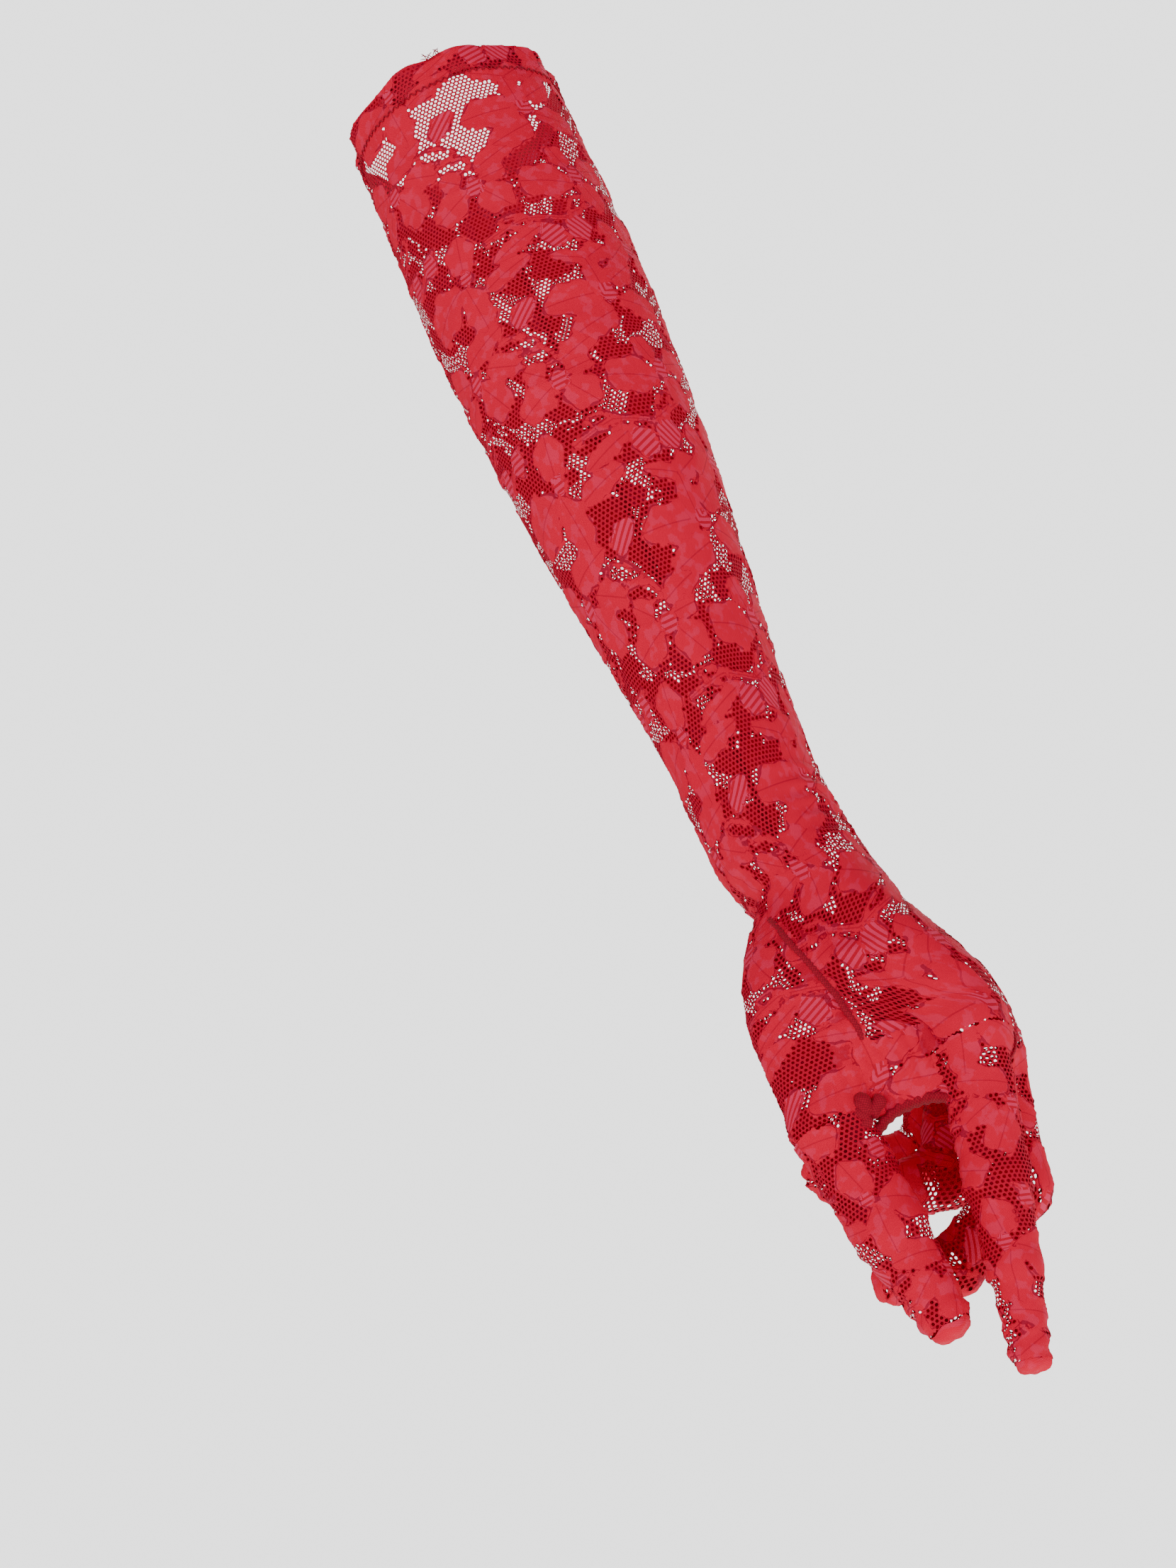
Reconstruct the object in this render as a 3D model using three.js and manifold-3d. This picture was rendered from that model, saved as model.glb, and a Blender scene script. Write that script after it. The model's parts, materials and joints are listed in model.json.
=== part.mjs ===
// A long stretch-lace opera glove for the left arm, as it stands when worn: fingers down, thumb towards -Y.
// Millimetres, +Z up the arm. The origin is the centre of the cuff opening, +X is the back of the hand,
// -X the palm, -Y the thumb side and +Y the little finger's side.
// Lace bends anywhere, but a solid doesn't, so each tube of lace is split at the arm's own joints: the
// lower tube ends in a round knuckle that turns inside the end of the tube above it.
import * as THREE from 'three';
import { mergeVertices } from 'three/addons/utils/BufferGeometryUtils.js';
import Module from 'manifold-3d';

const wasm = await Module();
wasm.setup();

// ---- Driving dimensions ----

// Lace, thread and clearances.
const WALL = 1; // lace wall with its raised cords
const GAP = 0.35; // clearance between pieces that touch
const SEAM_WIDTH = 2.4; // overlocked seam, across
const SEAM_RISE = 1.1; // and out from the lace
const SEAM_END = 2.5; // a seam stops this far short of a joint's edge
const SEAM_TIP_END = 4; // and this far short of a closed tip
const SEAM_HEM_END = 1; // and this far below the hem
const TURN_SPARE = 3; // degrees a joint could turn past its limit before its edges meet
const MOUTH_ANGLE = 42; // a knuckle's mouth, measured from its axis
const KNUCKLE_LAP = 1.3 * WALL; // inside, a knuckle meets its tube this much lower than outside
const SAME_POINT = 1e-3; // corners closer than this are one

// Sleeve: lengths along the arm, half thickness back to palm, half width across.
const CUFF_RADIUS = 37.3;
const CUFF_TO_ELBOW = 60;
const ELBOW_TO_WRIST = 230;
const ELBOW_RADIUS = 37.8;
const FOREARM_RADIUS = 38;
const FOREARM_AT = 35; // the forearm is thickest this far below the elbow
const WRIST_HALF_THICK = 21.5;
const WRIST_HALF_WIDE = 26.5;
// Share of the way from the thickest forearm to the wrist, and the share of the taper done there in
// thickness and in width.
const FOREARM_TAPER = [
  [0.16, 0.13, 0.15],
  [0.37, 0.31, 0.4],
  [0.58, 0.6, 0.7],
  [0.74, 0.83, 0.88],
  [0.89, 0.97, 0.985],
];

// Hem: a turned channel that holds the elastic.
const HEM_HEIGHT = 11;
const HEM_LAYER = 0.9;
const HEM_ROOF = 1.3 * HEM_LAYER; // cloth over the top of the channel
const ELASTIC_THICK = 1.1;
const ELASTIC_HEIGHT = 7;
const ELASTIC_HEADROOM = 1; // left over the elastic, besides the clearance
const STITCH_RADIUS = 0.4;
const STITCH_UP = 1.6; // row of stitches above the hem's lower edge

// Hand: below the wrist. Each station gives the depth, the centre's shift to the back of the hand, the
// half thickness, the half width and how square the outline is (2 is an ellipse).
const HAND_STATIONS = [
  [0, 0, WRIST_HALF_THICK, WRIST_HALF_WIDE, 2],
  [17, 1.6, 21.6, 27.5, 2.1],
  [35, 6.5, 19.5, 31, 2.3],
  [55, 14, 17.6, 35, 2.5],
  [73, 22.5, 16.6, 38, 2.8],
  [101, 30.8, 14.9, 39.2, 3.2],
];
const HAND_LENGTH = 101; // wrist to the knuckles' line
const HAND_EDGE_FLEX = 19; // the hand's lower edge is cut back on the palm, in degrees
const HAND_EDGE_BACK = 8; // and on the back of the hand
const KNUCKLE_X = { top: 30.8, at: -12, bow: 0.0055 }; // knuckles bow from the back towards the palm
const KNUCKLE_Z = { top: -HAND_LENGTH, at: -25, bow: -0.0042 }; // and rise to the little finger

// Fingers: place across the hand, lean from straight down at rest, and each joint's rest bend; lengths of
// the three lengths of finger; half thickness and half width at the root, the two joints and the tip.
const TIP_FOLLOWS = 0.67; // the end joint bends with the middle one, by this ratio
const TIP_ROUND = 2.2; // length of a closed tip's rounded end
const TIP_CAP = { size: 0.72, height: 0.25 }; // its last ring, as shares of the tip's size and of that length
const BELLY = { along: 0.5, thick: 0.62, wide: 0.55 }; // halfway along a length, share of its taper done
const FINGERS = [
  {
    name: 'index', across: -29.5, lean: 13, bend: 0, lengths: [46, 26, 31],
    thick: [11.2, 10.2, 8.3, 5.8], wide: [9.4, 8.9, 8, 6.6], root: [-32, 4], middle: [0, 8],
  },
  {
    name: 'middle', across: -9.5, lean: 9, bend: 54, lengths: [46, 29, 24.5],
    thick: [12.4, 9.8, 8.4, 6], wide: [9.4, 9, 8, 6.6], root: [-25, 30], middle: [-54, 40],
  },
  {
    name: 'ring', across: 10, lean: 33, bend: 66, lengths: [39, 25.5, 21],
    thick: [12, 9.4, 8, 6], wide: [9.2, 8.6, 7.6, 6.4], root: [-45, 20], middle: [-66, 29],
  },
  {
    name: 'little', across: 28, lean: 38, bend: 64, lengths: [31, 19, 19],
    thick: [9.6, 8.2, 7, 5.2], wide: [8, 7.6, 6.8, 5.6], root: [-50, 12], middle: [-64, 25],
  },
];

// Thumb: the root grows out of the palm; below it two lengths hang in one plane.
const THUMB_ACROSS = -31;
const THUMB_ROOT_STATIONS = [
  // depth below the wrist, centre X, centre Y, half thickness, half width
  [30, 1, -12, 10, 10],
  [42, -3, -17, 15, 13.5],
  [57, -7, -23, 19.5, 15.5],
  [77, -9.5, -28.5, 21, 13.6],
  [93, -11, -30.5, 19.8, 12],
];
const THUMB_JOINTS = [
  { x: -19.2, z: -110, thick: 11.9, wide: 11.2 },
  { x: -15.5, z: -147, thick: 10.7, wide: 10.2 },
  { x: -14.5, z: -184, thick: 7, wide: 7.4 },
];
const THUMB_BASE_RANGE = [-4, 35]; // opens away from the fingers
const THUMB_TIP_RANGE = [-15, 12];

// Joints of the arm: how far each turns to each side.
const ELBOW_RANGE = [0, 90];
const WRIST_RANGE = [-55, 65];

// Facets round each tube, and steps along it.
const SLEEVE_SIDES = 28;
const HAND_SIDES = 14; // on each of the two hand panels
const FINGER_SIDES = 12;
const THUMB_SIDES = 14;
const THUMB_ROOT_SIDES = 20;
const KNUCKLE_STEPS = 3;
const UPPER_STEPS = 2;
const FOREARM_STEPS = 8;
const FOREARM_SEAM_STEPS = 10;
const HAND_STEPS = 8;
const HAND_SEAM_STEPS = 6;
const THUMB_ROOT_STEPS = 9;
const FINGER_STEPS = 3;
const FINGER_SEAM_STEPS = 2;

// ---- Materials ----

function lace(color) {
  return new THREE.MeshStandardMaterial({ color, roughness: 0.75, metalness: 0 });
}

const LACE = lace(0xd8102c);
const LACE_PINK = lace(0xe0304a);
const THREAD = new THREE.MeshStandardMaterial({ color: 0x9a0a1e, roughness: 0.6, metalness: 0 });
const ELASTIC = new THREE.MeshStandardMaterial({ color: 0xc41a2e, roughness: 0.9, metalness: 0 });

// ---- Small tools ----

const radians = THREE.MathUtils.degToRad;
const mix = THREE.MathUtils.lerp;

// Reads a table of stations at a distance, on a smooth curve through them.
function readStations(stations, at) {
  const last = stations.length - 1;
  let i = 0;
  while (i < last - 1 && at > stations[i + 1][0]) i += 1;
  const before = stations[Math.max(i - 1, 0)];
  const from = stations[i];
  const to = stations[i + 1];
  const after = stations[Math.min(i + 2, last)];
  const span = to[0] - from[0];
  const t = THREE.MathUtils.clamp((at - from[0]) / span, 0, 1);
  return from.map((value, k) => {
    const slopeIn = i > 0 ? ((to[k] - before[k]) / (to[0] - before[0])) * span : to[k] - value;
    const slopeOut = i + 1 < last ? ((after[k] - value) / (after[0] - from[0])) * span : to[k] - value;
    const t2 = t * t;
    const t3 = t2 * t;
    const ends = (2 * t3 - 3 * t2 + 1) * value + (3 * t2 - 2 * t3) * to[k];
    return ends + (t3 - 2 * t2 + t) * slopeIn + (t3 - t2) * slopeOut;
  });
}

// A geometry from loose triangles, with shared corners merged and flat triangles dropped, facing out.
function geometryOf(triangles) {
  const loose = new THREE.BufferGeometry();
  loose.setAttribute('position', new THREE.Float32BufferAttribute(triangles.flat(2), 3));
  const merged = mergeVertices(loose, 1e-3);
  const index = Array.from(merged.index.array);
  const p = merged.attributes.position;
  const kept = [];
  let volume = 0;
  const [a, b, c] = [new THREE.Vector3(), new THREE.Vector3(), new THREE.Vector3()];
  for (let i = 0; i < index.length; i += 3) {
    const [u, v, w] = index.slice(i, i + 3);
    if (u === v || v === w || w === u) continue;
    kept.push([u, v, w]);
    volume += a.fromBufferAttribute(p, u).dot(b.fromBufferAttribute(p, v).cross(c.fromBufferAttribute(p, w)));
  }
  merged.setIndex((volume < 0 ? kept.map(([u, v, w]) => [u, w, v]) : kept).flat());
  merged.computeVertexNormals();
  return merged;
}

function quad(triangles, a, b, c, d) {
  triangles.push([a, b, c], [a, c, d]);
}

// A wall of lace between two stacks of rings. An open stack is a panel with two long edges; a round one
// closes on itself. A stack that ends in a point has no lower edge.
function wall(outer, inner, { round = true, pointed = false } = {}) {
  const triangles = [];
  const sides = outer[0].length;
  const turns = round ? sides : sides - 1;
  const last = outer.length - 1;
  for (let k = 0; k < last; k += 1) {
    for (let i = 0; i < turns; i += 1) {
      const j = (i + 1) % sides;
      quad(triangles, outer[k][i], outer[k][j], outer[k + 1][j], outer[k + 1][i]);
      quad(triangles, inner[k][j], inner[k][i], inner[k + 1][i], inner[k + 1][j]);
    }
    if (!round) {
      const end = sides - 1;
      quad(triangles, inner[k][0], outer[k][0], outer[k + 1][0], inner[k + 1][0]);
      quad(triangles, outer[k][end], inner[k][end], inner[k + 1][end], outer[k + 1][end]);
    }
  }
  for (let i = 0; i < turns; i += 1) {
    const j = (i + 1) % sides;
    quad(triangles, outer[0][j], outer[0][i], inner[0][i], inner[0][j]);
    if (!pointed) quad(triangles, outer[last][i], outer[last][j], inner[last][j], inner[last][i]);
  }
  return geometryOf(triangles);
}

// A filled plug with the shape of a stack of rings, used for cutting.
function plug(rings) {
  const triangles = [];
  const sides = rings[0].length;
  const last = rings.length - 1;
  const middle = (ring) => [0, 1, 2].map((k) => ring.reduce((sum, point) => sum + point[k], 0) / sides);
  for (let i = 0; i < sides; i += 1) {
    const j = (i + 1) % sides;
    for (let k = 0; k < last; k += 1) {
      quad(triangles, rings[k][i], rings[k][j], rings[k + 1][j], rings[k + 1][i]);
    }
    triangles.push([middle(rings[0]), rings[0][j], rings[0][i]]);
    triangles.push([middle(rings[last]), rings[last][i], rings[last][j]]);
  }
  return geometryOf(triangles);
}

function manifoldOf(geometry) {
  return new wasm.Manifold(
    new wasm.Mesh({
      numProp: 3,
      vertProperties: geometry.attributes.position.array,
      triVerts: new Uint32Array(geometry.index.array),
    }),
  );
}

// The largest body of a cut solid, as a geometry.
function cutGeometry(solid) {
  const [largest] = solid.decompose().sort((a, b) => b.volume() - a.volume());
  const mesh = largest.getMesh();
  const geometry = new THREE.BufferGeometry();
  geometry.setAttribute('position', new THREE.Float32BufferAttribute(mesh.vertProperties, 3));
  geometry.setIndex(Array.from(mesh.triVerts));
  geometry.computeVertexNormals();
  return geometry;
}

// ---- Joints ----

// A joint in a tube. Its hinge lies along X or Y through the tube's axis; the tube bends towards the
// negative side of the other axis. bends holds the lowest and highest bend from straight, in degrees, and
// parentFlex and parentBack the share of the notch cut from the tube above, as angles.
function joint({ hinge, thick, wide, bends, parentFlex, parentBack }) {
  const childFlex = Math.max(bends[1] + TURN_SPARE - parentFlex, TURN_SPARE);
  const childBack = Math.max(-bends[0] + TURN_SPARE - parentBack, TURN_SPARE);
  const reach = ([x, y]) => (hinge === 'y' ? x : y);
  const lift = (flex, back) => (point) => {
    const out = reach(point);
    return GAP + Math.abs(out) * Math.tan(radians(out < 0 ? flex : back));
  };
  return {
    thick,
    across: hinge === 'y' ? [thick, wide] : [wide, thick],
    above: lift(parentFlex, parentBack),
    below: lift(childFlex, childBack),
  };
}

// A joint that shares its notch evenly between the two tubes.
function evenJoint(hinge, thick, wide, bends) {
  return joint({
    hinge, thick, wide, bends,
    parentFlex: (bends[1] + TURN_SPARE) / 2,
    parentBack: Math.max((-bends[0] + TURN_SPARE) / 2, TURN_SPARE / 2),
  });
}

// The rings of a knuckle round the origin, from its mouth down to where it meets its tube.
function knuckleRings(turn, angles, inset, deeper) {
  const mouth = radians(MOUTH_ANGLE);
  const [rx, ry] = turn.across.map((radius) => radius - inset);
  const rz = turn.thick - inset;
  return Array.from({ length: KNUCKLE_STEPS + 1 }, (_, k) =>
    angles.map((phi) => {
      const rim = [turn.across[0] * Math.cos(phi), turn.across[1] * Math.sin(phi)];
      const foot = Math.PI / 2 + Math.atan((turn.below(rim) + deeper) / turn.thick);
      const polar = mix(mouth, foot, k / KNUCKLE_STEPS);
      const spread = Math.sin(polar);
      return [rx * spread * Math.cos(phi), ry * spread * Math.sin(phi), rz * Math.cos(polar)];
    }),
  );
}

// ---- Tubes of lace ----

function roundAngles(sides) {
  return Array.from({ length: sides }, (_, i) => (2 * Math.PI * i) / sides);
}

function signedPower(value, exponent) {
  return Math.sign(value) * Math.abs(value) ** exponent;
}

// A tube's outline at a depth, as points at the given angles, grown by an offset. shape(depth) gives the
// centre, half thickness, half width, squareness and bow; depthAt(point) gives the depth of each point
// from where it lies round the centre, so that an edge can be cut at a slant.
function outline(shape, angles, offset, depthAt) {
  return angles.map((phi) => {
    const round = (depth) => {
      const { thick, wide, square = 2 } = shape(depth);
      return [
        (thick + offset) * signedPower(Math.cos(phi), 2 / square),
        (wide + offset) * signedPower(Math.sin(phi), 2 / square),
      ];
    };
    const depth = depthAt(round(depthAt([0, 0])));
    const { x, y, bow = () => 0 } = shape(depth);
    const [px, py] = round(depth);
    return [x + px + bow(y + py), y + py, -depth];
  });
}

// A length of lace tube below its joint, or below an open top, down to the next joint or a closed tip.
function tube({ shape, length, top, topDepth = 0, bottom, sides, steps }) {
  const angles = roundAngles(sides);
  const upper = (point) => (top ? top.below(point) : topDepth);
  const lower = (point) => length - (bottom ? bottom.above(point) : 0);
  const stack = (inset) => {
    const inside = inset > 0;
    const rings = [];
    if (top) rings.push(...knuckleRings(top, angles, inset + WALL + GAP, inside ? KNUCKLE_LAP : 0));
    for (let k = 0; k <= steps; k += 1) {
      const t = k / steps;
      const depthAt = (point) => {
        const head = upper(point) + (inside && top ? KNUCKLE_LAP : 0);
        const foot = lower(point) - (bottom ? 0 : inset + TIP_ROUND);
        return mix(head, foot, t);
      };
      rings.push(outline(shape, angles, -inset, depthAt));
    }
    if (!bottom) {
      const end = shape(length);
      const cap = { ...end, thick: end.thick * TIP_CAP.size, wide: end.wide * TIP_CAP.size };
      const capDepth = length - inset - TIP_ROUND * TIP_CAP.height;
      rings.push(outline(() => cap, angles, -inset * TIP_CAP.size, () => capDepth));
      rings.push(angles.map(() => [end.x, end.y, -(length - inset)]));
    }
    return rings;
  };
  return wall(stack(0), stack(WALL), { pointed: !bottom });
}

// An overlocked seam that stands on a tube, between two depths.
function seam({ shape, angle, from, to, steps, offset = GAP }) {
  const { thick, wide } = shape(from);
  const half = SEAM_WIDTH / (thick + wide);
  const angles = [angle - half, angle, angle + half];
  const stack = (rise) =>
    Array.from({ length: steps + 1 }, (_, k) => outline(shape, angles, rise, () => mix(from, to, k / steps)));
  return wall(stack(offset + SEAM_RISE), stack(offset), { round: false });
}

function named(name, geometry, material) {
  const mesh = new THREE.Mesh(geometry, material);
  mesh.name = name;
  return mesh;
}

// ---- Cuff ----

// The turned hem: a channel open along its lower edge, which the elastic lies in.
function cuffHem() {
  const inside = CUFF_RADIUS - WALL;
  const channelIn = inside + HEM_LAYER;
  const channelOut = channelIn + ELASTIC_THICK + 2 * GAP;
  const outside = channelOut + HEM_LAYER;
  const soft = HEM_LAYER;
  const profile = [
    [inside, -HEM_HEIGHT],
    [channelIn, -HEM_HEIGHT],
    [channelIn, -HEM_ROOF],
    [channelOut, -HEM_ROOF],
    [channelOut, -HEM_HEIGHT],
    [outside, -HEM_HEIGHT],
    [outside, -soft],
    [outside - soft, 0],
    [inside + soft, 0],
    [inside, -soft],
    [inside, -HEM_HEIGHT],
  ];
  return { turned: latheAboutZ(profile), channelIn, outside };
}

// A ring turned about Z from a closed profile of radius and height.
function latheAboutZ(profile) {
  const rings = profile.slice(0, -1).map(([radius, z]) =>
    roundAngles(SLEEVE_SIDES).map((phi) => [radius * Math.cos(phi), radius * Math.sin(phi), z]),
  );
  const triangles = [];
  rings.forEach((ring, k) => {
    const next = rings[(k + 1) % rings.length];
    ring.forEach((point, i) => {
      const j = (i + 1) % ring.length;
      quad(triangles, point, ring[j], next[j], next[i]);
    });
  });
  return geometryOf(triangles);
}

function cuffElastic(channelIn) {
  const inner = channelIn + GAP;
  const outer = inner + ELASTIC_THICK;
  const top = -(HEM_ROOF + GAP + ELASTIC_HEADROOM);
  const foot = top - ELASTIC_HEIGHT;
  return latheAboutZ([[inner, foot], [outer, foot], [outer, top], [inner, top], [inner, foot]]);
}

function hemStitching(outside) {
  const middle = outside + GAP + STITCH_RADIUS;
  const z = -HEM_HEIGHT + STITCH_UP;
  const profile = [0, 90, 180, 270, 360].map((turn) => [
    middle + STITCH_RADIUS * Math.cos(radians(turn)),
    z + STITCH_RADIUS * Math.sin(radians(turn)),
  ]);
  return latheAboutZ(profile);
}

// ---- Sleeve ----

const taperLength = ELBOW_TO_WRIST - FOREARM_AT;
const SLEEVE_STATIONS = [
  [0, CUFF_RADIUS, CUFF_RADIUS],
  [CUFF_TO_ELBOW, ELBOW_RADIUS, ELBOW_RADIUS],
  [CUFF_TO_ELBOW + FOREARM_AT, FOREARM_RADIUS, FOREARM_RADIUS],
  ...FOREARM_TAPER.map(([along, thick, wide]) => [
    CUFF_TO_ELBOW + FOREARM_AT + along * taperLength,
    mix(FOREARM_RADIUS, WRIST_HALF_THICK, thick),
    mix(FOREARM_RADIUS, WRIST_HALF_WIDE, wide),
  ]),
  [CUFF_TO_ELBOW + ELBOW_TO_WRIST, WRIST_HALF_THICK, WRIST_HALF_WIDE],
];

// The sleeve's outline at a depth below a level that is itself `down` below the cuff.
function sleeveShape(down) {
  return (depth) => {
    const [, thick, wide] = readStations(SLEEVE_STATIONS, down + depth);
    return { x: 0, y: 0, thick, wide };
  };
}

const elbow = evenJoint('x', ELBOW_RADIUS, ELBOW_RADIUS, ELBOW_RANGE);
const wrist = evenJoint('y', WRIST_HALF_THICK, WRIST_HALF_WIDE, WRIST_RANGE);
const LITTLE_SIDE = Math.PI / 2; // +Y, where the long seam runs

function upperSleeve(group) {
  const hem = cuffHem();
  const start = HEM_HEIGHT + GAP;
  const shape = sleeveShape(0);
  group.add(
    named('cuff_hem', hem.turned, LACE),
    named('cuff_elastic', cuffElastic(hem.channelIn), ELASTIC),
    named('hem_stitching', hemStitching(hem.outside), THREAD),
    named(
      'sleeve_upper',
      tube({
        shape,
        length: CUFF_TO_ELBOW,
        topDepth: start,
        bottom: elbow,
        sides: SLEEVE_SIDES,
        steps: UPPER_STEPS,
      }),
      LACE,
    ),
    named(
      'sleeve_seam_upper',
      seam({
        shape,
        angle: LITTLE_SIDE,
        from: start + SEAM_HEM_END,
        to: CUFF_TO_ELBOW - SEAM_END,
        steps: UPPER_STEPS,
      }),
      THREAD,
    ),
  );
}

function forearmSleeve(group) {
  const shape = sleeveShape(CUFF_TO_ELBOW);
  group.add(
    named(
      'sleeve_forearm',
      tube({
        shape,
        length: ELBOW_TO_WRIST,
        top: elbow,
        bottom: wrist,
        sides: SLEEVE_SIDES,
        steps: FOREARM_STEPS,
      }),
      LACE,
    ),
    named(
      'sleeve_seam_forearm',
      seam({
        shape,
        angle: LITTLE_SIDE,
        from: SEAM_END,
        to: ELBOW_TO_WRIST - SEAM_END,
        steps: FOREARM_SEAM_STEPS,
      }),
      THREAD,
    ),
  );
}

// ---- Hand ----

function bowed({ top, at, bow }, y) {
  return top - bow * (y - at) ** 2;
}

function knuckleX(y) {
  return bowed(KNUCKLE_X, y);
}

function knuckleZ(y) {
  return bowed(KNUCKLE_Z, y);
}

// The hand's outline below the wrist. Towards the knuckles it bows with their line.
function handShape(depth) {
  const [, x, thick, wide, square] = readStations(HAND_STATIONS, depth);
  const share = THREE.MathUtils.smoothstep(depth, 0, HAND_LENGTH);
  return { x, y: 0, thick, wide, square, bow: (y) => share * (knuckleX(y) - KNUCKLE_X.top) };
}

// Depth of the hand's lower edge at a point measured from the outline's centre.
function handEdge([x, y]) {
  const edge = x < 0 ? HAND_EDGE_FLEX : HAND_EDGE_BACK;
  return -knuckleZ(y) - GAP - Math.abs(x) * Math.tan(radians(edge));
}

// The rings of one hand panel, or of the whole hand where round is set, grown by an offset.
function handRings(angles, offset, shift, deeper) {
  return Array.from({ length: HAND_STEPS + 1 }, (_, k) => {
    const depthAt = (point) => mix(wrist.below(point) + deeper, handEdge(point), k / HAND_STEPS);
    return outline(handShape, angles, offset, depthAt).map(([x, y, z]) => [x + shift, y, z]);
  });
}

// One panel of the hand: it carries its half of the wrist's knuckle.
function handPanel(side) {
  const start = side > 0 ? -Math.PI / 2 : Math.PI / 2;
  const angles = Array.from({ length: HAND_SIDES + 1 }, (_, i) => start + (Math.PI * i) / HAND_SIDES);
  const shift = (side * GAP) / 2;
  const moved = (rings) => rings.map((ring) => ring.map(([x, y, z]) => [x + shift, y, z]));
  const stack = (inset) => {
    const deeper = inset > 0 ? KNUCKLE_LAP : 0;
    const knuckle = knuckleRings(wrist, angles, inset + WALL + GAP, deeper);
    return [...moved(knuckle), ...handRings(angles, -inset, shift, deeper)];
  };
  return manifoldOf(wall(stack(0), stack(WALL), { round: false }));
}

function handPlug(offset) {
  return manifoldOf(plug(handRings(roundAngles(2 * HAND_SIDES), offset, 0, 0)));
}

// ---- Thumb ----

const thumbBends = THUMB_JOINTS.slice(0, 2).map((from, i) => {
  const to = THUMB_JOINTS[i + 1];
  return THREE.MathUtils.radToDeg(Math.atan2(from.x - to.x, from.z - to.z));
});
const thumbBase = evenJoint('y', THUMB_JOINTS[0].thick, THUMB_JOINTS[0].wide, [
  thumbBends[0] + THUMB_BASE_RANGE[0],
  thumbBends[0] + THUMB_BASE_RANGE[1],
]);
const thumbEnd = evenJoint('y', THUMB_JOINTS[1].thick, THUMB_JOINTS[1].wide, [
  thumbBends[1] - thumbBends[0] + THUMB_TIP_RANGE[0],
  thumbBends[1] - thumbBends[0] + THUMB_TIP_RANGE[1],
]);

const rootStations = [
  ...THUMB_ROOT_STATIONS,
  [-THUMB_JOINTS[0].z, THUMB_JOINTS[0].x, THUMB_ACROSS, THUMB_JOINTS[0].thick, THUMB_JOINTS[0].wide],
];

function thumbRootShape(depth) {
  const [, x, y, thick, wide] = readStations(rootStations, depth);
  return { x, y, thick, wide };
}

// The rings of the thumb's root, from inside the hand to the edge above the thumb's first joint.
function thumbRootRings(offset) {
  const head = THUMB_ROOT_STATIONS[0][0];
  const foot = -THUMB_JOINTS[0].z;
  return Array.from({ length: THUMB_ROOT_STEPS + 1 }, (_, k) =>
    outline(thumbRootShape, roundAngles(THUMB_ROOT_SIDES), offset, (point) =>
      mix(head, foot - thumbBase.above(point), k / THUMB_ROOT_STEPS),
    ),
  );
}

// The thumb is set into the hand: its root stops at the hand's lace, and the hand is open inside it.
function handAndThumbRoot(group) {
  const root = manifoldOf(wall(thumbRootRings(0), thumbRootRings(-WALL)));
  const rootHole = manifoldOf(plug(thumbRootRings(-WALL)));
  const collar = manifoldOf(wall(thumbRootRings(GAP + SEAM_RISE), thumbRootRings(GAP)));
  const seamBand = collar.intersect(handPlug(GAP + SEAM_WIDTH)).subtract(handPlug(GAP));
  group.add(
    named('hand_back', cutGeometry(handPanel(1).subtract(rootHole)), LACE),
    named('hand_palm', cutGeometry(handPanel(-1).subtract(rootHole)), LACE_PINK),
    named('hand_seam', handSeam(), THREAD),
    named('thumb_root', cutGeometry(root.subtract(handPlug(GAP))), LACE_PINK),
    named('thumb_seam', cutGeometry(seamBand), THREAD),
  );
}

// The long seam goes on down the little finger's edge of the hand.
function handSeam() {
  const from = wrist.below([0, 0]) + SEAM_END;
  const to = handEdge([0, HAND_STATIONS.at(-1)[3]]) - SEAM_END;
  const stack = (rise) =>
    Array.from({ length: HAND_SEAM_STEPS + 1 }, (_, k) => {
      const depth = mix(from, to, k / HAND_SEAM_STEPS);
      const { x, wide, bow } = handShape(depth);
      const middle = x + bow(wide);
      return [-1, 0, 1].map((side) => [middle + (side * SEAM_WIDTH) / 2, wide + rise, -depth]);
    });
  return wall(stack(GAP + SEAM_RISE), stack(GAP), { round: false });
}

// ---- Fingers and thumb, length by length ----

function fingerShape(thick, wide, length) {
  const stations = [
    [0, thick[0], wide[0]],
    [length * BELLY.along, mix(thick[0], thick[1], BELLY.thick), mix(wide[0], wide[1], BELLY.wide)],
    [length, thick[1], wide[1]],
  ];
  return (depth) => {
    const [, halfThick, halfWide] = readStations(stations, depth);
    return { x: 0, y: 0, thick: halfThick, wide: halfWide };
  };
}

const BACK_SEAM = radians(32); // a finger's seam runs along its back, a little to the little finger's side

// Hangs a chain of lace tubes from a point: each length turns in the one above it.
function chain(group, { names, seamNames, turns, tops, lengths, thick, wide, sides, seamAngle, material }) {
  let hang = group;
  names.forEach((name, i) => {
    const next = new THREE.Group();
    next.rotation.y = radians(turns[i]);
    next.position.z = i > 0 ? -lengths[i - 1] : 0;
    hang.add(next);
    hang = next;
    const shape = fingerShape(thick.slice(i, i + 2), wide.slice(i, i + 2), lengths[i]);
    const bottom = tops[i + 1];
    const rim = [shape(0).thick, 0];
    const from = tops[i].below(rim) + SEAM_END;
    const to = lengths[i] - (bottom ? bottom.above(rim) + SEAM_END : SEAM_TIP_END);
    hang.add(
      named(
        name,
        tube({ shape, length: lengths[i], top: tops[i], bottom, sides, steps: FINGER_STEPS }),
        material,
      ),
      named(seamNames[i], seam({ shape, angle: seamAngle, from, to, steps: FINGER_SEAM_STEPS }), THREAD),
    );
  });
}

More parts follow.
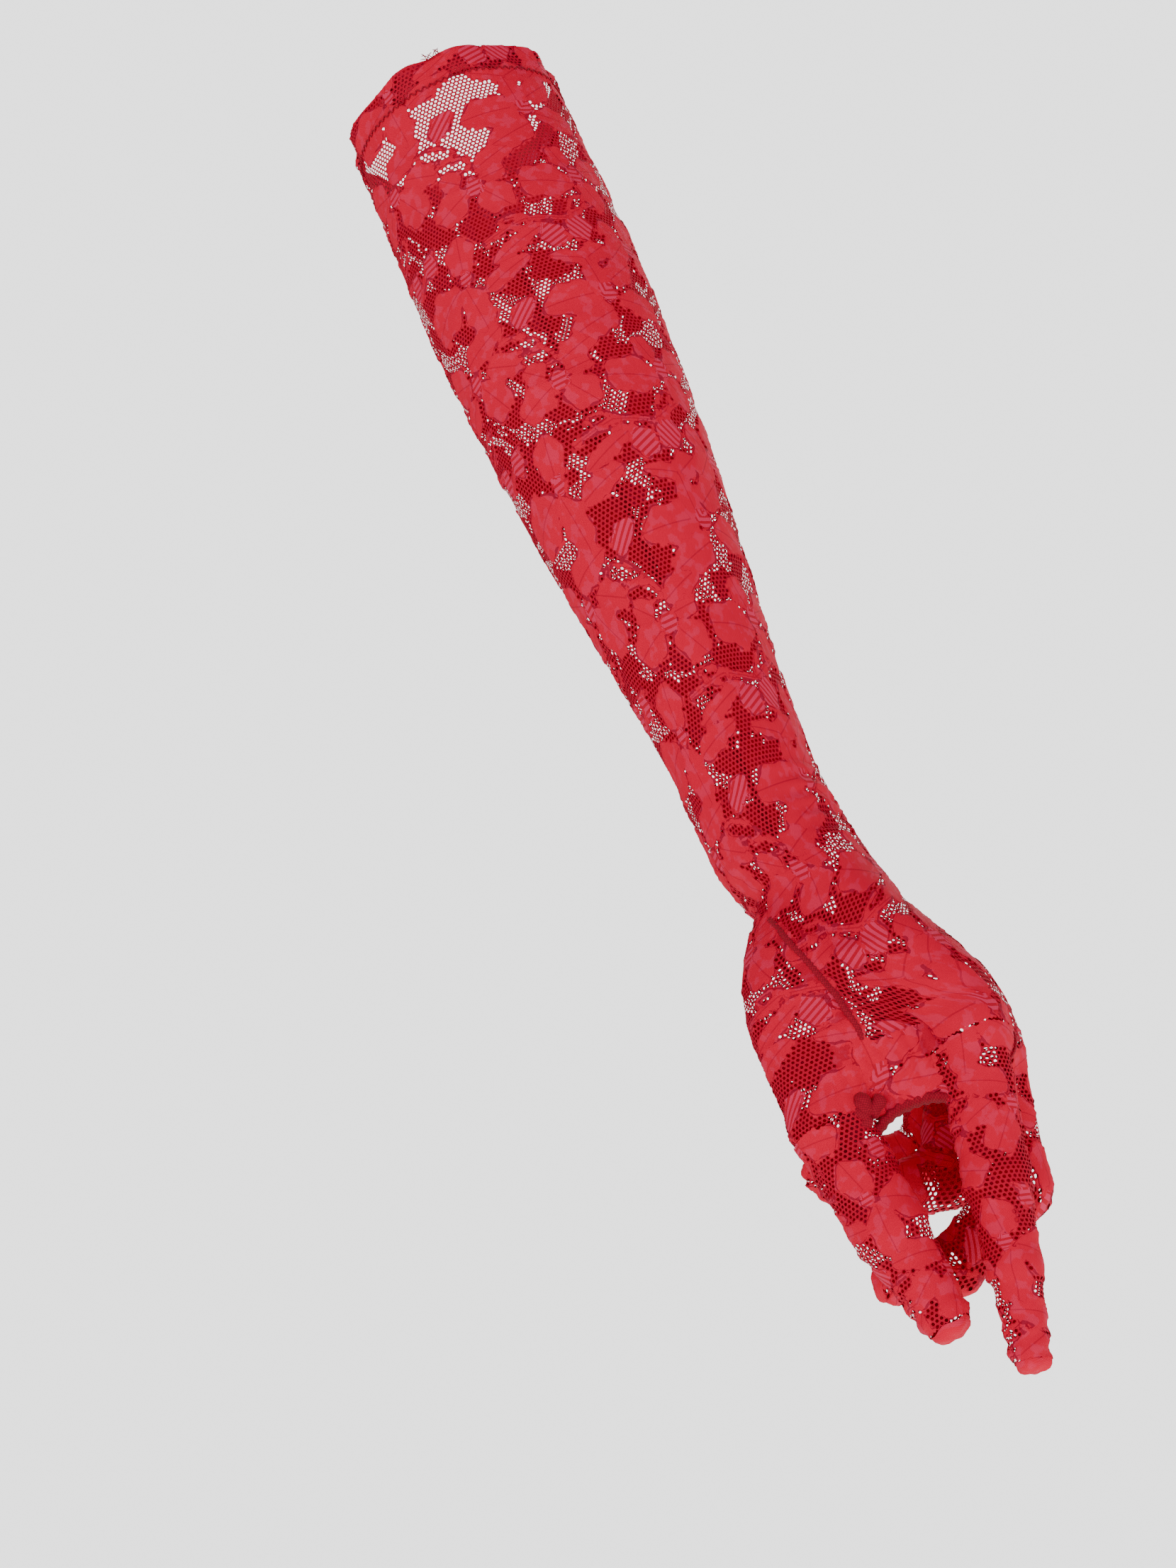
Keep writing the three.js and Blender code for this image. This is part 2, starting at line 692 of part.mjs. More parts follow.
function finger(group, { name, across, lean, bend, lengths, thick, wide, root, middle }) {
  const tipBend = bend * TIP_FOLLOWS;
  const tops = [
    joint({
      hinge: 'y',
      thick: thick[0],
      wide: wide[0],
      bends: [lean + root[0], lean + root[1]],
      parentFlex: HAND_EDGE_FLEX,
      parentBack: HAND_EDGE_BACK,
    }),
    evenJoint('y', thick[1], wide[1], [bend + middle[0], bend + middle[1]]),
    evenJoint('y', thick[2], wide[2], middle.map((turn) => tipBend + turn * TIP_FOLLOWS)),
  ];
  const start = new THREE.Group();
  start.position.set(knuckleX(across), across, knuckleZ(across));
  group.add(start);
  const lengthNames = ['root', 'middle', 'tip'];
  chain(start, {
    names: lengthNames.map((length) => `${name}_${length}`),
    seamNames: lengthNames.map((length) => `${name}_seam_${length}`),
    turns: [lean, bend, tipBend],
    tops,
    lengths,
    thick,
    wide,
    sides: FINGER_SIDES,
    seamAngle: BACK_SEAM,
    material: LACE,
  });
}

function thumb(group) {
  const [base, middle, tip] = THUMB_JOINTS;
  const start = new THREE.Group();
  start.position.set(base.x, THUMB_ACROSS, base.z);
  group.add(start);
  chain(start, {
    names: ['thumb_middle', 'thumb_tip'],
    seamNames: ['thumb_seam_middle', 'thumb_seam_tip'],
    turns: [thumbBends[0], thumbBends[1] - thumbBends[0]],
    tops: [thumbBase, thumbEnd],
    lengths: [
      Math.hypot(base.x - middle.x, base.z - middle.z),
      Math.hypot(middle.x - tip.x, middle.z - tip.z),
    ],
    thick: THUMB_JOINTS.map((at) => at.thick),
    wide: THUMB_JOINTS.map((at) => at.wide),
    sides: THUMB_SIDES,
    seamAngle: Math.PI, // along the ball of the thumb
    material: LACE_PINK,
  });
}

// ---- Assembly ----

const glove = new THREE.Group();
upperSleeve(glove);

const forearm = new THREE.Group();
forearm.position.z = -CUFF_TO_ELBOW;
glove.add(forearm);
forearmSleeve(forearm);

const hand = new THREE.Group();
hand.position.z = -ELBOW_TO_WRIST;
forearm.add(hand);
handAndThumbRoot(hand);
thumb(hand);
FINGERS.forEach((each) => finger(hand, each));

export default glove;
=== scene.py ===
"""A long opera glove in stretch lace, standing open in the shape of the bent arm that wears it."""
import json
import logging
import math
import random
from dataclasses import dataclass, field
from enum import Enum
from functools import cached_property

import bpy
import numpy as np
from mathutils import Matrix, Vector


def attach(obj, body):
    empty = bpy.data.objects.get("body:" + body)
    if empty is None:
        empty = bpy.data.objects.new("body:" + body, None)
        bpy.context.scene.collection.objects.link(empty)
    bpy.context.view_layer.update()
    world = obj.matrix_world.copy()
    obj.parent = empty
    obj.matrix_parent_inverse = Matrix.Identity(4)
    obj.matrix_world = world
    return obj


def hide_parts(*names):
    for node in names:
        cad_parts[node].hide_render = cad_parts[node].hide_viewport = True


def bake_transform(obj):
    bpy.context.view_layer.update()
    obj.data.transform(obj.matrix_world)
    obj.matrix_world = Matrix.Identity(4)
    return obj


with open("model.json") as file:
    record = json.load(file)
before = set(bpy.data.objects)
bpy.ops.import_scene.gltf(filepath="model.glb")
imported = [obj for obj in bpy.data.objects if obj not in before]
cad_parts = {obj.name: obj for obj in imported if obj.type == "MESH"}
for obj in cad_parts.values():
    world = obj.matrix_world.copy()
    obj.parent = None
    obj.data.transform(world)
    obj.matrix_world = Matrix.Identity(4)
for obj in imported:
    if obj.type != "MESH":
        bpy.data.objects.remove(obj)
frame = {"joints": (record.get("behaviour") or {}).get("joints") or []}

log = logging.getLogger("opera_glove")

MM = 0.001


# ---------------------------------------------------------------- helpers


def smooth_step(low: float, high: float, value: np.ndarray) -> np.ndarray:
    """Ease from 0 at low to 1 at high.

    Args:
        low: The value at which the result leaves 0.
        high: The value at which the result reaches 1.
        value: The values to ease.

    Returns:
        An array of the same shape, from 0 to 1.
    """
    t = np.clip((value - low) / (high - low), 0.0, 1.0)
    return t * t * (3.0 - 2.0 * t)


def soft_least(first: np.ndarray, second: np.ndarray, round_mm: float) -> np.ndarray:
    """Join two distance fields with a rounded valley between them.

    Args:
        first: Distances to the first form, in millimetres.
        second: Distances to the second form.
        round_mm: How wide the rounding is.

    Returns:
        The distance to the joined form.
    """
    share = np.clip(0.5 + 0.5 * (second - first) / round_mm, 0.0, 1.0)
    return second + (first - second) * share - round_mm * share * (1.0 - share)


def ripple(across: np.ndarray, along: np.ndarray, pitch: float, seed: float) -> np.ndarray:
    """A smooth irregular wave over the cloth, made of a few sines that never line up.

    Args:
        across: Place across the cloth, in millimetres.
        along: Place along the cloth.
        pitch: The rough distance between two crests.
        seed: A number that moves the wave.

    Returns:
        Values from about -1 to 1.
    """
    k = math.tau / pitch
    return (
        np.sin(k * across + 1.3 * np.sin(0.61 * k * along + seed) + seed)
        + np.sin(0.83 * k * along + 1.7 * np.sin(0.47 * k * across - seed) + 2.1 * seed)
        + 0.6 * np.sin(k * (0.55 * across + 0.71 * along) + 3.3 * seed)
    ) / 2.6


def unit(vector: np.ndarray) -> np.ndarray:
    """Scale vectors along the last axis to length 1."""
    return vector / np.maximum(np.linalg.norm(vector, axis=-1, keepdims=True), 1e-9)


def joint_place(name: str) -> np.ndarray:
    """Place of a hinge of the frame, in millimetres."""
    found = next(j for j in frame["joints"] if j["name"] == name)
    return np.array(found["pos_m"], float) / MM


def new_mesh(name: str, points: np.ndarray, faces: list, smooth: bool = True) -> bpy.types.Object:
    """Make a mesh object from points in millimetres.

    Args:
        name: Name of the piece.
        points: One row for each vertex.
        faces: Lists of vertex numbers.
        smooth: Whether the faces are shaded smooth.

    Returns:
        The new object, at the origin.
    """
    mesh = bpy.data.meshes.new(name)
    mesh.from_pydata((points * MM).tolist(), [], faces)
    mesh.update()
    mesh.polygons.foreach_set("use_smooth", [smooth] * len(mesh.polygons))
    made = bpy.data.objects.new(name, mesh)
    bpy.context.scene.collection.objects.link(made)
    return made


# ---------------------------------------------------------------- the worn form


@dataclass(frozen=True)
class Trunk:
    """A form given by level sections: height, centre X and Y, half thick, half wide, squareness."""

    sections: tuple[tuple[float, ...], ...]
    cap: float = 8.0

    @cached_property
    def table(self) -> tuple[np.ndarray, np.ndarray]:
        """Heights every millimetre, and the section at each, eased between the given ones."""
        rows = np.array(sorted(self.sections), float)
        heights = np.arange(rows[0, 0], rows[-1, 0] + 0.5, 1.0)
        slopes = np.gradient(rows, rows[:, 0], axis=0)
        k = np.clip(np.searchsorted(rows[:, 0], heights, side="right") - 1, 0, len(rows) - 2)
        span = (rows[k + 1, 0] - rows[k, 0])[:, None]
        t = ((heights - rows[k, 0])[:, None]) / span
        eased = (
            (2 * t**3 - 3 * t**2 + 1) * rows[k]
            + (t**3 - 2 * t**2 + t) * span * slopes[k]
            + (-2 * t**3 + 3 * t**2) * rows[k + 1]
            + (t**3 - t**2) * span * slopes[k + 1]
        )
        return heights, eased

    def section(self, height: np.ndarray) -> np.ndarray:
        """Section values at each height, one row each."""
        heights, eased = self.table
        return np.stack([np.interp(height, heights, eased[:, c]) for c in range(6)], axis=-1)

    def distance(self, points: np.ndarray) -> np.ndarray:
        """Distance from the form's surface, below 0 inside.

        Args:
            points: Places in millimetres, with the last axis of length 3.

        Returns:
            One distance for each place.
        """
        heights, _ = self.table
        row = self.section(points[..., 2])
        x = points[..., 0] - row[..., 1]
        y = points[..., 1] - row[..., 2]
        over = np.abs(points[..., 2] - np.clip(points[..., 2], heights[0], heights[-1]))
        power = row[..., 5]
        ratio = (
            (np.abs(x) / row[..., 3]) ** power
            + (np.abs(y) / row[..., 4]) ** power
            + (over / self.cap) ** power
        ) ** (1.0 / power)
        reach = np.sqrt(x * x + y * y + over * over)
        return reach * (1.0 - 1.0 / np.maximum(ratio, 1e-3))


@dataclass(frozen=True)
class Bone:
    """One straight length of a finger with an oval section, rounded at its ends."""

    start: tuple[float, float, float]
    end: tuple[float, float, float]
    thick: tuple[float, float]
    wide: tuple[float, float]

    def distance(self, points: np.ndarray) -> np.ndarray:
        """Distance from the surface, below 0 inside, for places in millimetres."""
        start, end = np.array(self.start), np.array(self.end)
        length = float(np.linalg.norm(end - start))
        axis = (end - start) / length
        side = np.array([-axis[2], 0.0, axis[0]])
        away = points - start
        along = away @ axis
        t = np.clip(along, 0.0, length)
        thick = self.thick[0] + (self.thick[1] - self.thick[0]) * t / length
        wide = self.wide[0] + (self.wide[1] - self.wide[0]) * t / length
        x, y, over = away @ side, away[..., 1], along - t
        ratio = np.sqrt((x / thick) ** 2 + (y / wide) ** 2 + (over / (0.9 * thick)) ** 2)
        reach = np.sqrt(x * x + y * y + over * over)
        return reach * (1.0 - 1.0 / np.maximum(ratio, 1e-3))


@dataclass(frozen=True)
class Digit:
    """A finger or the thumb: its hinges come from the frame, and its girths are given here."""

    name: str
    hinges: tuple[str, ...]
    thick: tuple[float, ...]
    wide: tuple[float, ...]
    tip_length: float
    tip_turn: float
    lead_in: float = 16.0
    bend_half: float = 9.0

    @cached_property
    def joints(self) -> np.ndarray:
        """Places of the hinges and of the tip, in millimetres."""
        places = [joint_place(h) for h in self.hinges]
        last = places[-1] - places[-2]
        turn = math.radians(self.tip_turn)
        angle = math.atan2(-last[0], -last[2]) + turn
        tip = places[-1] + self.tip_length * np.array([-math.sin(angle), 0.0, -math.cos(angle)])
        return np.array([*places, tip])

    @cached_property
    def lengths(self) -> np.ndarray:
        """Distance along the digit of each hinge and the tip."""
        steps = np.linalg.norm(np.diff(self.joints, axis=0), axis=1)
        return np.concatenate([[0.0], np.cumsum(steps)])

    @cached_property
    def bones(self) -> tuple[Bone, ...]:
        """The straight lengths between the hinges."""
        made = []
        for k in range(len(self.joints) - 1):
            start, end = self.joints[k], self.joints[k + 1]
            if k == len(self.joints) - 2:
                end = end - unit(end - start) * 0.9 * self.thick[k + 1]
            made.append(
                Bone(tuple(start), tuple(end), self.thick[k : k + 2], self.wide[k : k + 2])
            )
        return tuple(made)

    def distance(self, points: np.ndarray) -> np.ndarray:
        """Distance from the digit's surface, below 0 inside."""
        found = self.bones[0].distance(points)
        for bone in self.bones[1:]:
            found = soft_least(found, bone.distance(points), 3.0)
        return found

    def centre_line(self, step: float) -> tuple[np.ndarray, np.ndarray, np.ndarray]:
        """A smooth line down the middle of the digit.

        Args:
            step: Distance between two points, in millimetres.

        Returns:
            Distances along the line, points on it, and its direction at each.
        """
        steps = np.diff(self.joints, axis=0)
        angles = np.arctan2(-steps[:, 0], -steps[:, 2])
        along = np.arange(-self.lead_in, self.lengths[-1] + step, step)
        angle = np.full(len(along), angles[0])
        for k in range(1, len(angles)):
            at = self.lengths[k]
            ease = smooth_step(at - self.bend_half, at + self.bend_half, along)
            angle = angle + (angles[k] - angles[k - 1]) * ease
        heading = np.stack([-np.sin(angle), np.zeros_like(angle), -np.cos(angle)], axis=-1)
        points = np.cumsum(heading * step, axis=0)
        root = np.array([np.interp(0.0, along, points[:, c]) for c in range(3)])
        return along, points - root + self.joints[0], heading


SLEEVE_SECTIONS = (
    (0.0, 0.0, 0.0, 37.2, 37.2, 2.0),
    (-44.0, 0.0, 0.0, 37.8, 37.6, 2.0),
    (-79.0, 0.0, 0.0, 38.2, 37.9, 2.0),
    (-101.0, 0.0, 0.0, 37.6, 37.6, 2.0),
    (-123.0, 0.0, 0.0, 36.2, 36.4, 2.0),
    (-145.0, 0.0, 0.0, 34.7, 35.0, 2.0),
    (-166.0, 0.0, 0.0, 33.0, 33.5, 2.0),
    (-188.0, 0.0, 0.0, 30.6, 31.8, 2.0),
    (-208.0, 0.0, 0.0, 28.1, 30.0, 2.0),
    (-229.0, 0.0, 0.0, 25.6, 28.6, 2.0),
    (-249.0, 0.0, 0.0, 23.4, 27.5, 2.0),
    (-268.0, 0.0, 0.0, 22.0, 26.8, 2.0),
    (-290.0, 0.0, 0.0, 21.5, 26.5, 2.0),
)
HAND_SECTIONS = (
    (-307.0, 1.6, 0.0, 21.6, 27.5, 2.1),
    (-325.0, 6.5, 0.0, 20.0, 31.0, 2.3),
    (-345.0, 14.0, 0.0, 17.8, 35.0, 2.5),
    (-363.0, 22.5, 0.0, 17.0, 38.0, 2.7),
    (-375.0, 27.0, 0.0, 16.4, 39.0, 2.9),
    (-384.0, 29.5, -0.5, 14.4, 38.6, 2.9),
    (-392.0, 30.6, -1.5, 11.6, 37.0, 2.8),
)
THUMB_ROOT_SECTIONS = (
    (-318.0, 1.0, -10.0, 8.0, 8.0, 2.0),
    (-332.0, -3.5, -17.0, 15.5, 13.5, 2.0),
    (-347.0, -7.0, -23.0, 19.5, 15.5, 2.1),
    (-367.0, -9.8, -28.5, 21.0, 13.6, 2.2),
    (-383.0, -12.0, -30.5, 18.6, 12.0, 2.1),
    (-393.0, -16.4, -31.0, 14.0, 11.4, 2.0),
    (-400.0, -18.6, -31.0, 11.4, 10.8, 2.0),
)
WEB_SECTIONS = (
    (-356.0, 4.0, -27.0, 14.0, 12.0, 2.0),
    (-380.0, 5.0, -29.0, 16.0, 10.5, 2.0),
    (-396.0, 5.0, -30.0, 17.0, 7.0, 2.0),
    (-403.0, 5.0, -31.0, 16.0, 4.2, 2.0),
)


@dataclass(frozen=True)
class WornForm:
    """The whole shape that the lace is stretched over."""

    arm: Trunk = Trunk(SLEEVE_SECTIONS + HAND_SECTIONS, cap=11.0)
    thumb_root: Trunk = Trunk(THUMB_ROOT_SECTIONS, cap=12.0)
    web: Trunk = Trunk(WEB_SECTIONS, cap=3.0)
    thumb: Digit = Digit(
        "thumb", ("thumb_base", "thumb_end"), (12.2, 10.8, 7.2), (11.4, 10.3, 7.6), 37.0, -3.0
    )
    fingers: tuple[Digit, ...] = (
        Digit(
            "index",
            ("index_root", "index_middle", "index_end"),
            (11.3, 9.5, 7.5, 5.4),
            (9.5, 8.8, 7.8, 6.3),
            31.0,
            1.0,
        ),
        Digit(
            "middle",
            ("middle_root", "middle_middle", "middle_end"),
            (12.4, 9.9, 8.5, 6.2),
            (9.3, 8.8, 7.8, 6.6),
            24.5,
            36.0,
        ),
        Digit(
            "ring",
            ("ring_root", "ring_middle", "ring_end"),
            (12.2, 9.6, 8.2, 6.2),
            (9.0, 8.3, 7.5, 6.4),
            21.0,
            44.0,
        ),
        Digit(
            "little",
            ("little_root", "little_middle", "little_end"),
            (10.6, 8.4, 7.2, 5.6),
            (8.4, 7.3, 6.7, 5.7),
            19.0,
            43.0,
        ),
    )
    knuckle_top: float = -394.0
    knuckle_bow: float = 0.0042
    knuckle_at: float = -25.0
    thumb_top: float = -403.0
    web_top: float = -386.0
    web_edge: tuple[float, float] = (19.5, -17.0)
    set_in_line: tuple[tuple[float, ...], ...] = (
        (-392.0, 0.0, 11.0, -20.0),
        (-381.0, 0.4, 10.0, -18.0),
        (-368.0, -2.0, 8.0, -15.0),
        (-350.0, -7.0, 2.0, -9.0),
        (-338.0, -10.0, -6.0, -6.0),
        (-329.0, -13.0, -12.0, -10.0),
    )

    def knuckle_height(self, y: np.ndarray) -> np.ndarray:
        """Height at which the fingers' own tubes start, for a place across the hand."""
        return self.knuckle_top + self.knuckle_bow * (y - self.knuckle_at) ** 2

    def fingers_distance(self, points: np.ndarray) -> np.ndarray:
        """Distance from the nearest finger."""
        return np.minimum.reduce([f.distance(points) for f in self.fingers])

    def thumb_side(self, points: np.ndarray) -> np.ndarray:
        """Distance from the thumb and its root together."""
        return soft_least(self.thumb_root.distance(points), self.thumb.distance(points), 4.0)

    def whole(self, points: np.ndarray) -> np.ndarray:
        """Distance from the whole form."""
        body = soft_least(self.arm.distance(points), self.thumb_side(points), 7.0)
        body = soft_least(body, self.web.distance(points), 5.0)
        return soft_least(body, self.fingers_distance(points), 5.0)

    def round_finger(self, finger: Digit, points: np.ndarray) -> np.ndarray:
        """Distance from one finger as it grows out of the hand."""
        body = soft_least(self.arm.distance(points), self.web.distance(points), 5.0)
        return soft_least(body, finger.distance(points), 5.0)

    def round_thumb(self, points: np.ndarray) -> np.ndarray:
        """Distance from the thumb as it grows out of its root and the web."""
        return soft_least(self.thumb_side(points), self.web.distance(points), 5.0)

    def is_set_in(self, points: np.ndarray, spare: float = 0.0) -> np.ndarray:
        """Find where the surface belongs to the separate piece of lace set in for the thumb.

        Args:
            points: Places in millimetres.
            spare: How far the piece runs on past its seam.

        Returns:
            True for each place on the piece.
        """
        x, y, z = points[..., 0], points[..., 1], points[..., 2]
        rows = np.array(self.set_in_line, float)
        front = np.interp(z, rows[:, 0], rows[:, 1])
        back = np.interp(z, rows[:, 0], rows[:, 2])
        inner = np.interp(z, rows[:, 0], rows[:, 3])
        edge = front + (back - front) * smooth_step(-34.0, -20.0, y)
        above = (x < edge + spare) & (y < inner + spare) & (z < rows[-1, 0] + spare)
        web = (x < self.web_edge[0] + spare) & (y < self.web_edge[1] + spare)
        return np.where(z < self.web_top + spare, web, above) & ~self.is_finger(points)

    def is_finger(self, points: np.ndarray) -> np.ndarray:
        """True where the surface belongs to a finger's own tube."""
        below = points[..., 2] < self.knuckle_height(points[..., 1])
        return below & (self.fingers_distance(points) < self.web.distance(points))

    def is_thumb(self, points: np.ndarray) -> np.ndarray:
        """True where the surface belongs to the thumb's own tube."""
        below = points[..., 2] < self.thumb_top
        return below & (self.thumb.distance(points) < self.web.distance(points))


FORM = WornForm()


# ---------------------------------------------------------------- charts: cloth laid on the form


@dataclass
class Chart:
    """Cloth laid round the form: rings of surface points, with the seam at both ends of each ring."""

    origins: np.ndarray
    rights: np.ndarray
    fronts: np.ndarray
    reach: np.ndarray
    distance: object
    far: float
    stretch: np.ndarray
    slack: object = None
    around: int = 240
    even: int = 10**6
    fixed_width: float = 0.0
    snug: float = 0.0
    flare: float = 0.0
    flare_rows: int = 8
    points: np.ndarray = field(init=False)
    normals: np.ndarray = field(init=False)
    width: np.ndarray = field(init=False)

    def __post_init__(self) -> None:
        """Cast every ring onto the form and space it evenly."""
        rays = 2 * self.around
        angle = np.linspace(0.0, math.tau, rays, endpoint=False)
        heading = (
            np.cos(angle)[None, :, None] * self.rights[:, None, :]
            + np.sin(angle)[None, :, None] * self.fronts[:, None, :]
        )
        origin = np.repeat(self.origins[:, None, :], rays, axis=1)
        radius = self.first_exit(origin, heading)
        loop = origin + heading * radius[..., None]
        loop = np.concatenate([loop, loop[:, :1]], axis=1)
        steps = np.linalg.norm(np.diff(loop, axis=1), axis=2)
        run = np.concatenate([np.zeros((len(loop), 1)), np.cumsum(steps, axis=1)], axis=1)
        share = np.linspace(0.0, 1.0, self.around + 1)
        self.points = np.empty((len(loop), self.around + 1, 3))
        turns = np.linspace(0.0, 1.0, rays + 1)
        first = 0
        if self.snug:
            first = int(np.argmax(run[:, -1] < max(self.snug, 1.02 * run[:, -1].min()))) + 2
        copied = np.clip(np.arange(len(loop)), first, min(self.even, len(loop) - 1))
        for k, ring in enumerate(loop):
            if self.fixed_width:
                opposite = run[k, rays // 2]
                spacing = np.interp(opposite + (share - 0.5) * self.fixed_width, run[k], turns)
            else:
                own = run[copied[k]]
                spacing = np.interp(share * own[-1], own, turns)
            for c in range(3):
                self.points[k, :, c] = np.interp(spacing, turns, ring[:, c])
        self.width = ((self.fixed_width or run[:, -1]) / self.stretch)[copied]
        inside = smooth_step(0.0, self.flare_rows, first - np.arange(len(loop)))
        self.width = self.width * (1.0 + self.flare * inside)
        self.normals = self.outward()
        if self.slack is not None:
            lift = self.slack(self.points, self.normals, self.reach)
            self.points = self.points + self.normals * lift[..., None]
            if not self.fixed_width:
                self.points[:, -1] = self.points[:, 0]
            self.normals = self.outward()

    def first_exit(self, origin: np.ndarray, heading: np.ndarray) -> np.ndarray:
        """Distance along each ray at which it first leaves the form.

        Args:
            origin: Where each ray starts, inside the form.
            heading: Unit directions.

        Returns:
            One distance for each ray.
        """
        step = 1.5
        near = np.zeros(origin.shape[:2])
        inside = np.ones(origin.shape[:2], bool)
        for k in range(1, int(self.far / step) + 1):
            value = self.distance(origin + heading * (k * step))
            inside &= value < 0
            near = np.where(inside, k * step, near)
            if not inside.any():
                break
        low, high = near, near + step
        for _ in range(7):
            middle = (low + high) / 2
            value = self.distance(origin + heading * middle[..., None])
            low, high = np.where(value < 0, middle, low), np.where(value < 0, high, middle)
        return (low + high) / 2

    def outward(self) -> np.ndarray:
        """Unit normals of the rings, facing away from the form."""
        loop = self.points[:, :-1]
        around = np.roll(loop, -1, axis=1) - np.roll(loop, 1, axis=1)
        along = np.gradient(loop, axis=0)
        made = unit(np.cross(around, along))
        made = np.concatenate([made, made[:, :1]], axis=1)
        spokes = self.points - self.origins[:, None, :]
        return made if (made * spokes).sum() > 0 else -made

    def width_at(self, along: np.ndarray) -> np.ndarray:
        """Width of the cloth in its own millimetres at each place along it."""
        return np.interp(along, self.reach, self.width)

    def place(self, across: np.ndarray, along: np.ndarray) -> tuple[np.ndarray, np.ndarray]:
        """Surface point and normal for places on the cloth.

        Args:
            across: Millimetres from the middle of the cloth.
            along: Millimetres along it.

        Returns:
            Points and unit normals.
        """
        row = np.interp(along, self.reach, np.arange(len(self.reach)))
        share = np.clip(0.5 + across / self.width_at(along), 0.0, 1.0)
        column = share * self.around
        k = np.minimum(row.astype(int), len(self.reach) - 2)
        j = np.minimum(column.astype(int), self.around - 1)
        a, b = (row - k)[:, None], (column - j)[:, None]
        found = []
        for grid in (self.points, self.normals):
            found.append(
                (grid[k, j] * (1 - b) + grid[k, j + 1] * b) * (1 - a)
                + (grid[k + 1, j] * (1 - b) + grid[k + 1, j + 1] * b) * a
            )
        return found[0], unit(found[1])


# ---------------------------------------------------------------- the lace's drawing


class Figure(Enum):
    """The kinds of shape in the lace's drawing."""

    PETAL = 0
    BUD = 1
    LEAF = 2
    STEM = 3


@dataclass(frozen=True)
class Stroke:
    """One shape of the drawing, from one end to the other, in the cloth's own millimetres."""

    kind: Figure
    start: tuple[float, float]
    end: tuple[float, float]
    half: float

    def distance(self, across: np.ndarray, along: np.ndarray) -> tuple[np.ndarray, np.ndarray]:
        """Distance from the shape's edge, below 0 inside, and the place across the shape."""
        middle = (np.array(self.start) + np.array(self.end)) / 2
        line = np.array(self.end) - np.array(self.start)
        length = max(float(np.linalg.norm(line)), 0.1)
        way = line / length
        x, y = across - middle[0], along - middle[1]
        a, b = x * way[0] + y * way[1], -x * way[1] + y * way[0]
        if self.kind is Figure.STEM:
            over = np.maximum(np.abs(a) - length / 2, 0.0)
            return np.sqrt(over**2 + b**2) - self.half, b
        scallop = 1.0 + 0.09 * np.sin(5.0 * np.arctan2(b, a) + middle[0])
        ratio = np.sqrt((a / (length / 2)) ** 2 + (b / self.half) ** 2) / scallop
        reach = np.sqrt(a * a + b * b)
        found = reach * (1.0 - 1.0 / np.maximum(ratio, 1e-3))
        if self.kind is Figure.LEAF:
            return np.abs(found) - 0.75, b
        return found, b


P, B, L, S = Figure.PETAL, Figure.BUD, Figure.LEAF, Figure.STEM
DRAWING = (
    Stroke(P, (2, 10), (22, 9), 6.2), Stroke(P, (8, 23), (25, 16), 5.6),
    Stroke(P, (27, 5), (39, -3), 5.0), Stroke(P, (29, 12), (45, 15), 5.4),
    Stroke(B, (22, 9), (28, 9), 3.6), Stroke(P, (21, -4), (31, -10), 4.2),
    Stroke(B, (-36, 18), (-30, 18), 3.4), Stroke(P, (-52, 8), (-36, 15), 6.2),
    Stroke(P, (-33, 11), (-15, 8), 5.2), Stroke(P, (-31, 20), (-23, 35), 6.6),
    Stroke(P, (-50, 26), (-37, 21), 5.0), Stroke(P, (-25, 17), (-13, 24), 4.4),
    Stroke(B, (-10, 12), (-1, 4), 3.4), Stroke(L, (-18, 14), (-5, 20), 2.6),
    Stroke(L, (-13, 23), (-1, 27), 2.8), Stroke(P, (-1, 30), (14, 24), 4.0),
    Stroke(B, (-6, 36), (0, 36), 3.6), Stroke(P, (-6, 37), (-20, 41), 5.6),
    Stroke(P, (-1, 38), (6, 48), 6.2), Stroke(P, (-7, 33), (-13, 27), 3.8),
    Stroke(P, (0, 34), (9, 33), 3.4), Stroke(B, (30, 39), (36, 39), 3.8),
    Stroke(P, (11, 40), (30, 43), 7.0), Stroke(P, (34, 42), (41, 53), 5.2),
    Stroke(P, (36, 37), (49, 33), 5.4), Stroke(P, (31, 36), (27, 27), 4.2),
    Stroke(B, (-47, 49), (-39, 51), 4.6), Stroke(B, (-34, 50), (-27, 51), 4.2),
    Stroke(S, (-54, 44), (-44, 47), 1.1), Stroke(S, (-42, 55), (-27, 47), 1.0),
    Stroke(B, (-21, 65), (-16, 65), 3.0), Stroke(P, (-19, 63), (-16, 50), 6.0),
    Stroke(P, (-23, 67), (-43, 73), 8.0), Stroke(P, (-20, 68), (-18, 88), 5.6),
    Stroke(P, (-14, 74), (4, 69), 3.6), Stroke(P, (-8, 67), (13, 59), 2.8),
    Stroke(S, (-7, 58), (8, 55), 0.9), Stroke(S, (8, 55), (21, 58), 0.9),
    Stroke(S, (21, 58), (34, 52), 0.9), Stroke(L, (0, 53), (10, 57), 2.4),
    Stroke(B, (11, 66), (19, 62), 5.0), Stroke(B, (22, 59), (28, 66), 5.0),
    Stroke(L, (24, 57), (31, 49), 2.4), Stroke(P, (11, 72), (23, 75), 2.6),
    Stroke(P, (22, 74), (24, 92), 4.2), Stroke(B, (42, 68), (48, 68), 3.4),
    Stroke(P, (42, 67), (32, 76), 5.0), Stroke(P, (47, 70), (58, 79), 6.0),
    Stroke(P, (46, 65), (51, 53), 5.0), Stroke(P, (41, 66), (33, 60), 4.0),
    Stroke(L, (44, 20), (55, 27), 3.2), Stroke(P, (49, 14), (61, 22), 4.4),
    Stroke(S, (45, 45), (58, 42), 1.0), Stroke(L, (-38, 34), (-50, 39), 3.0),
)


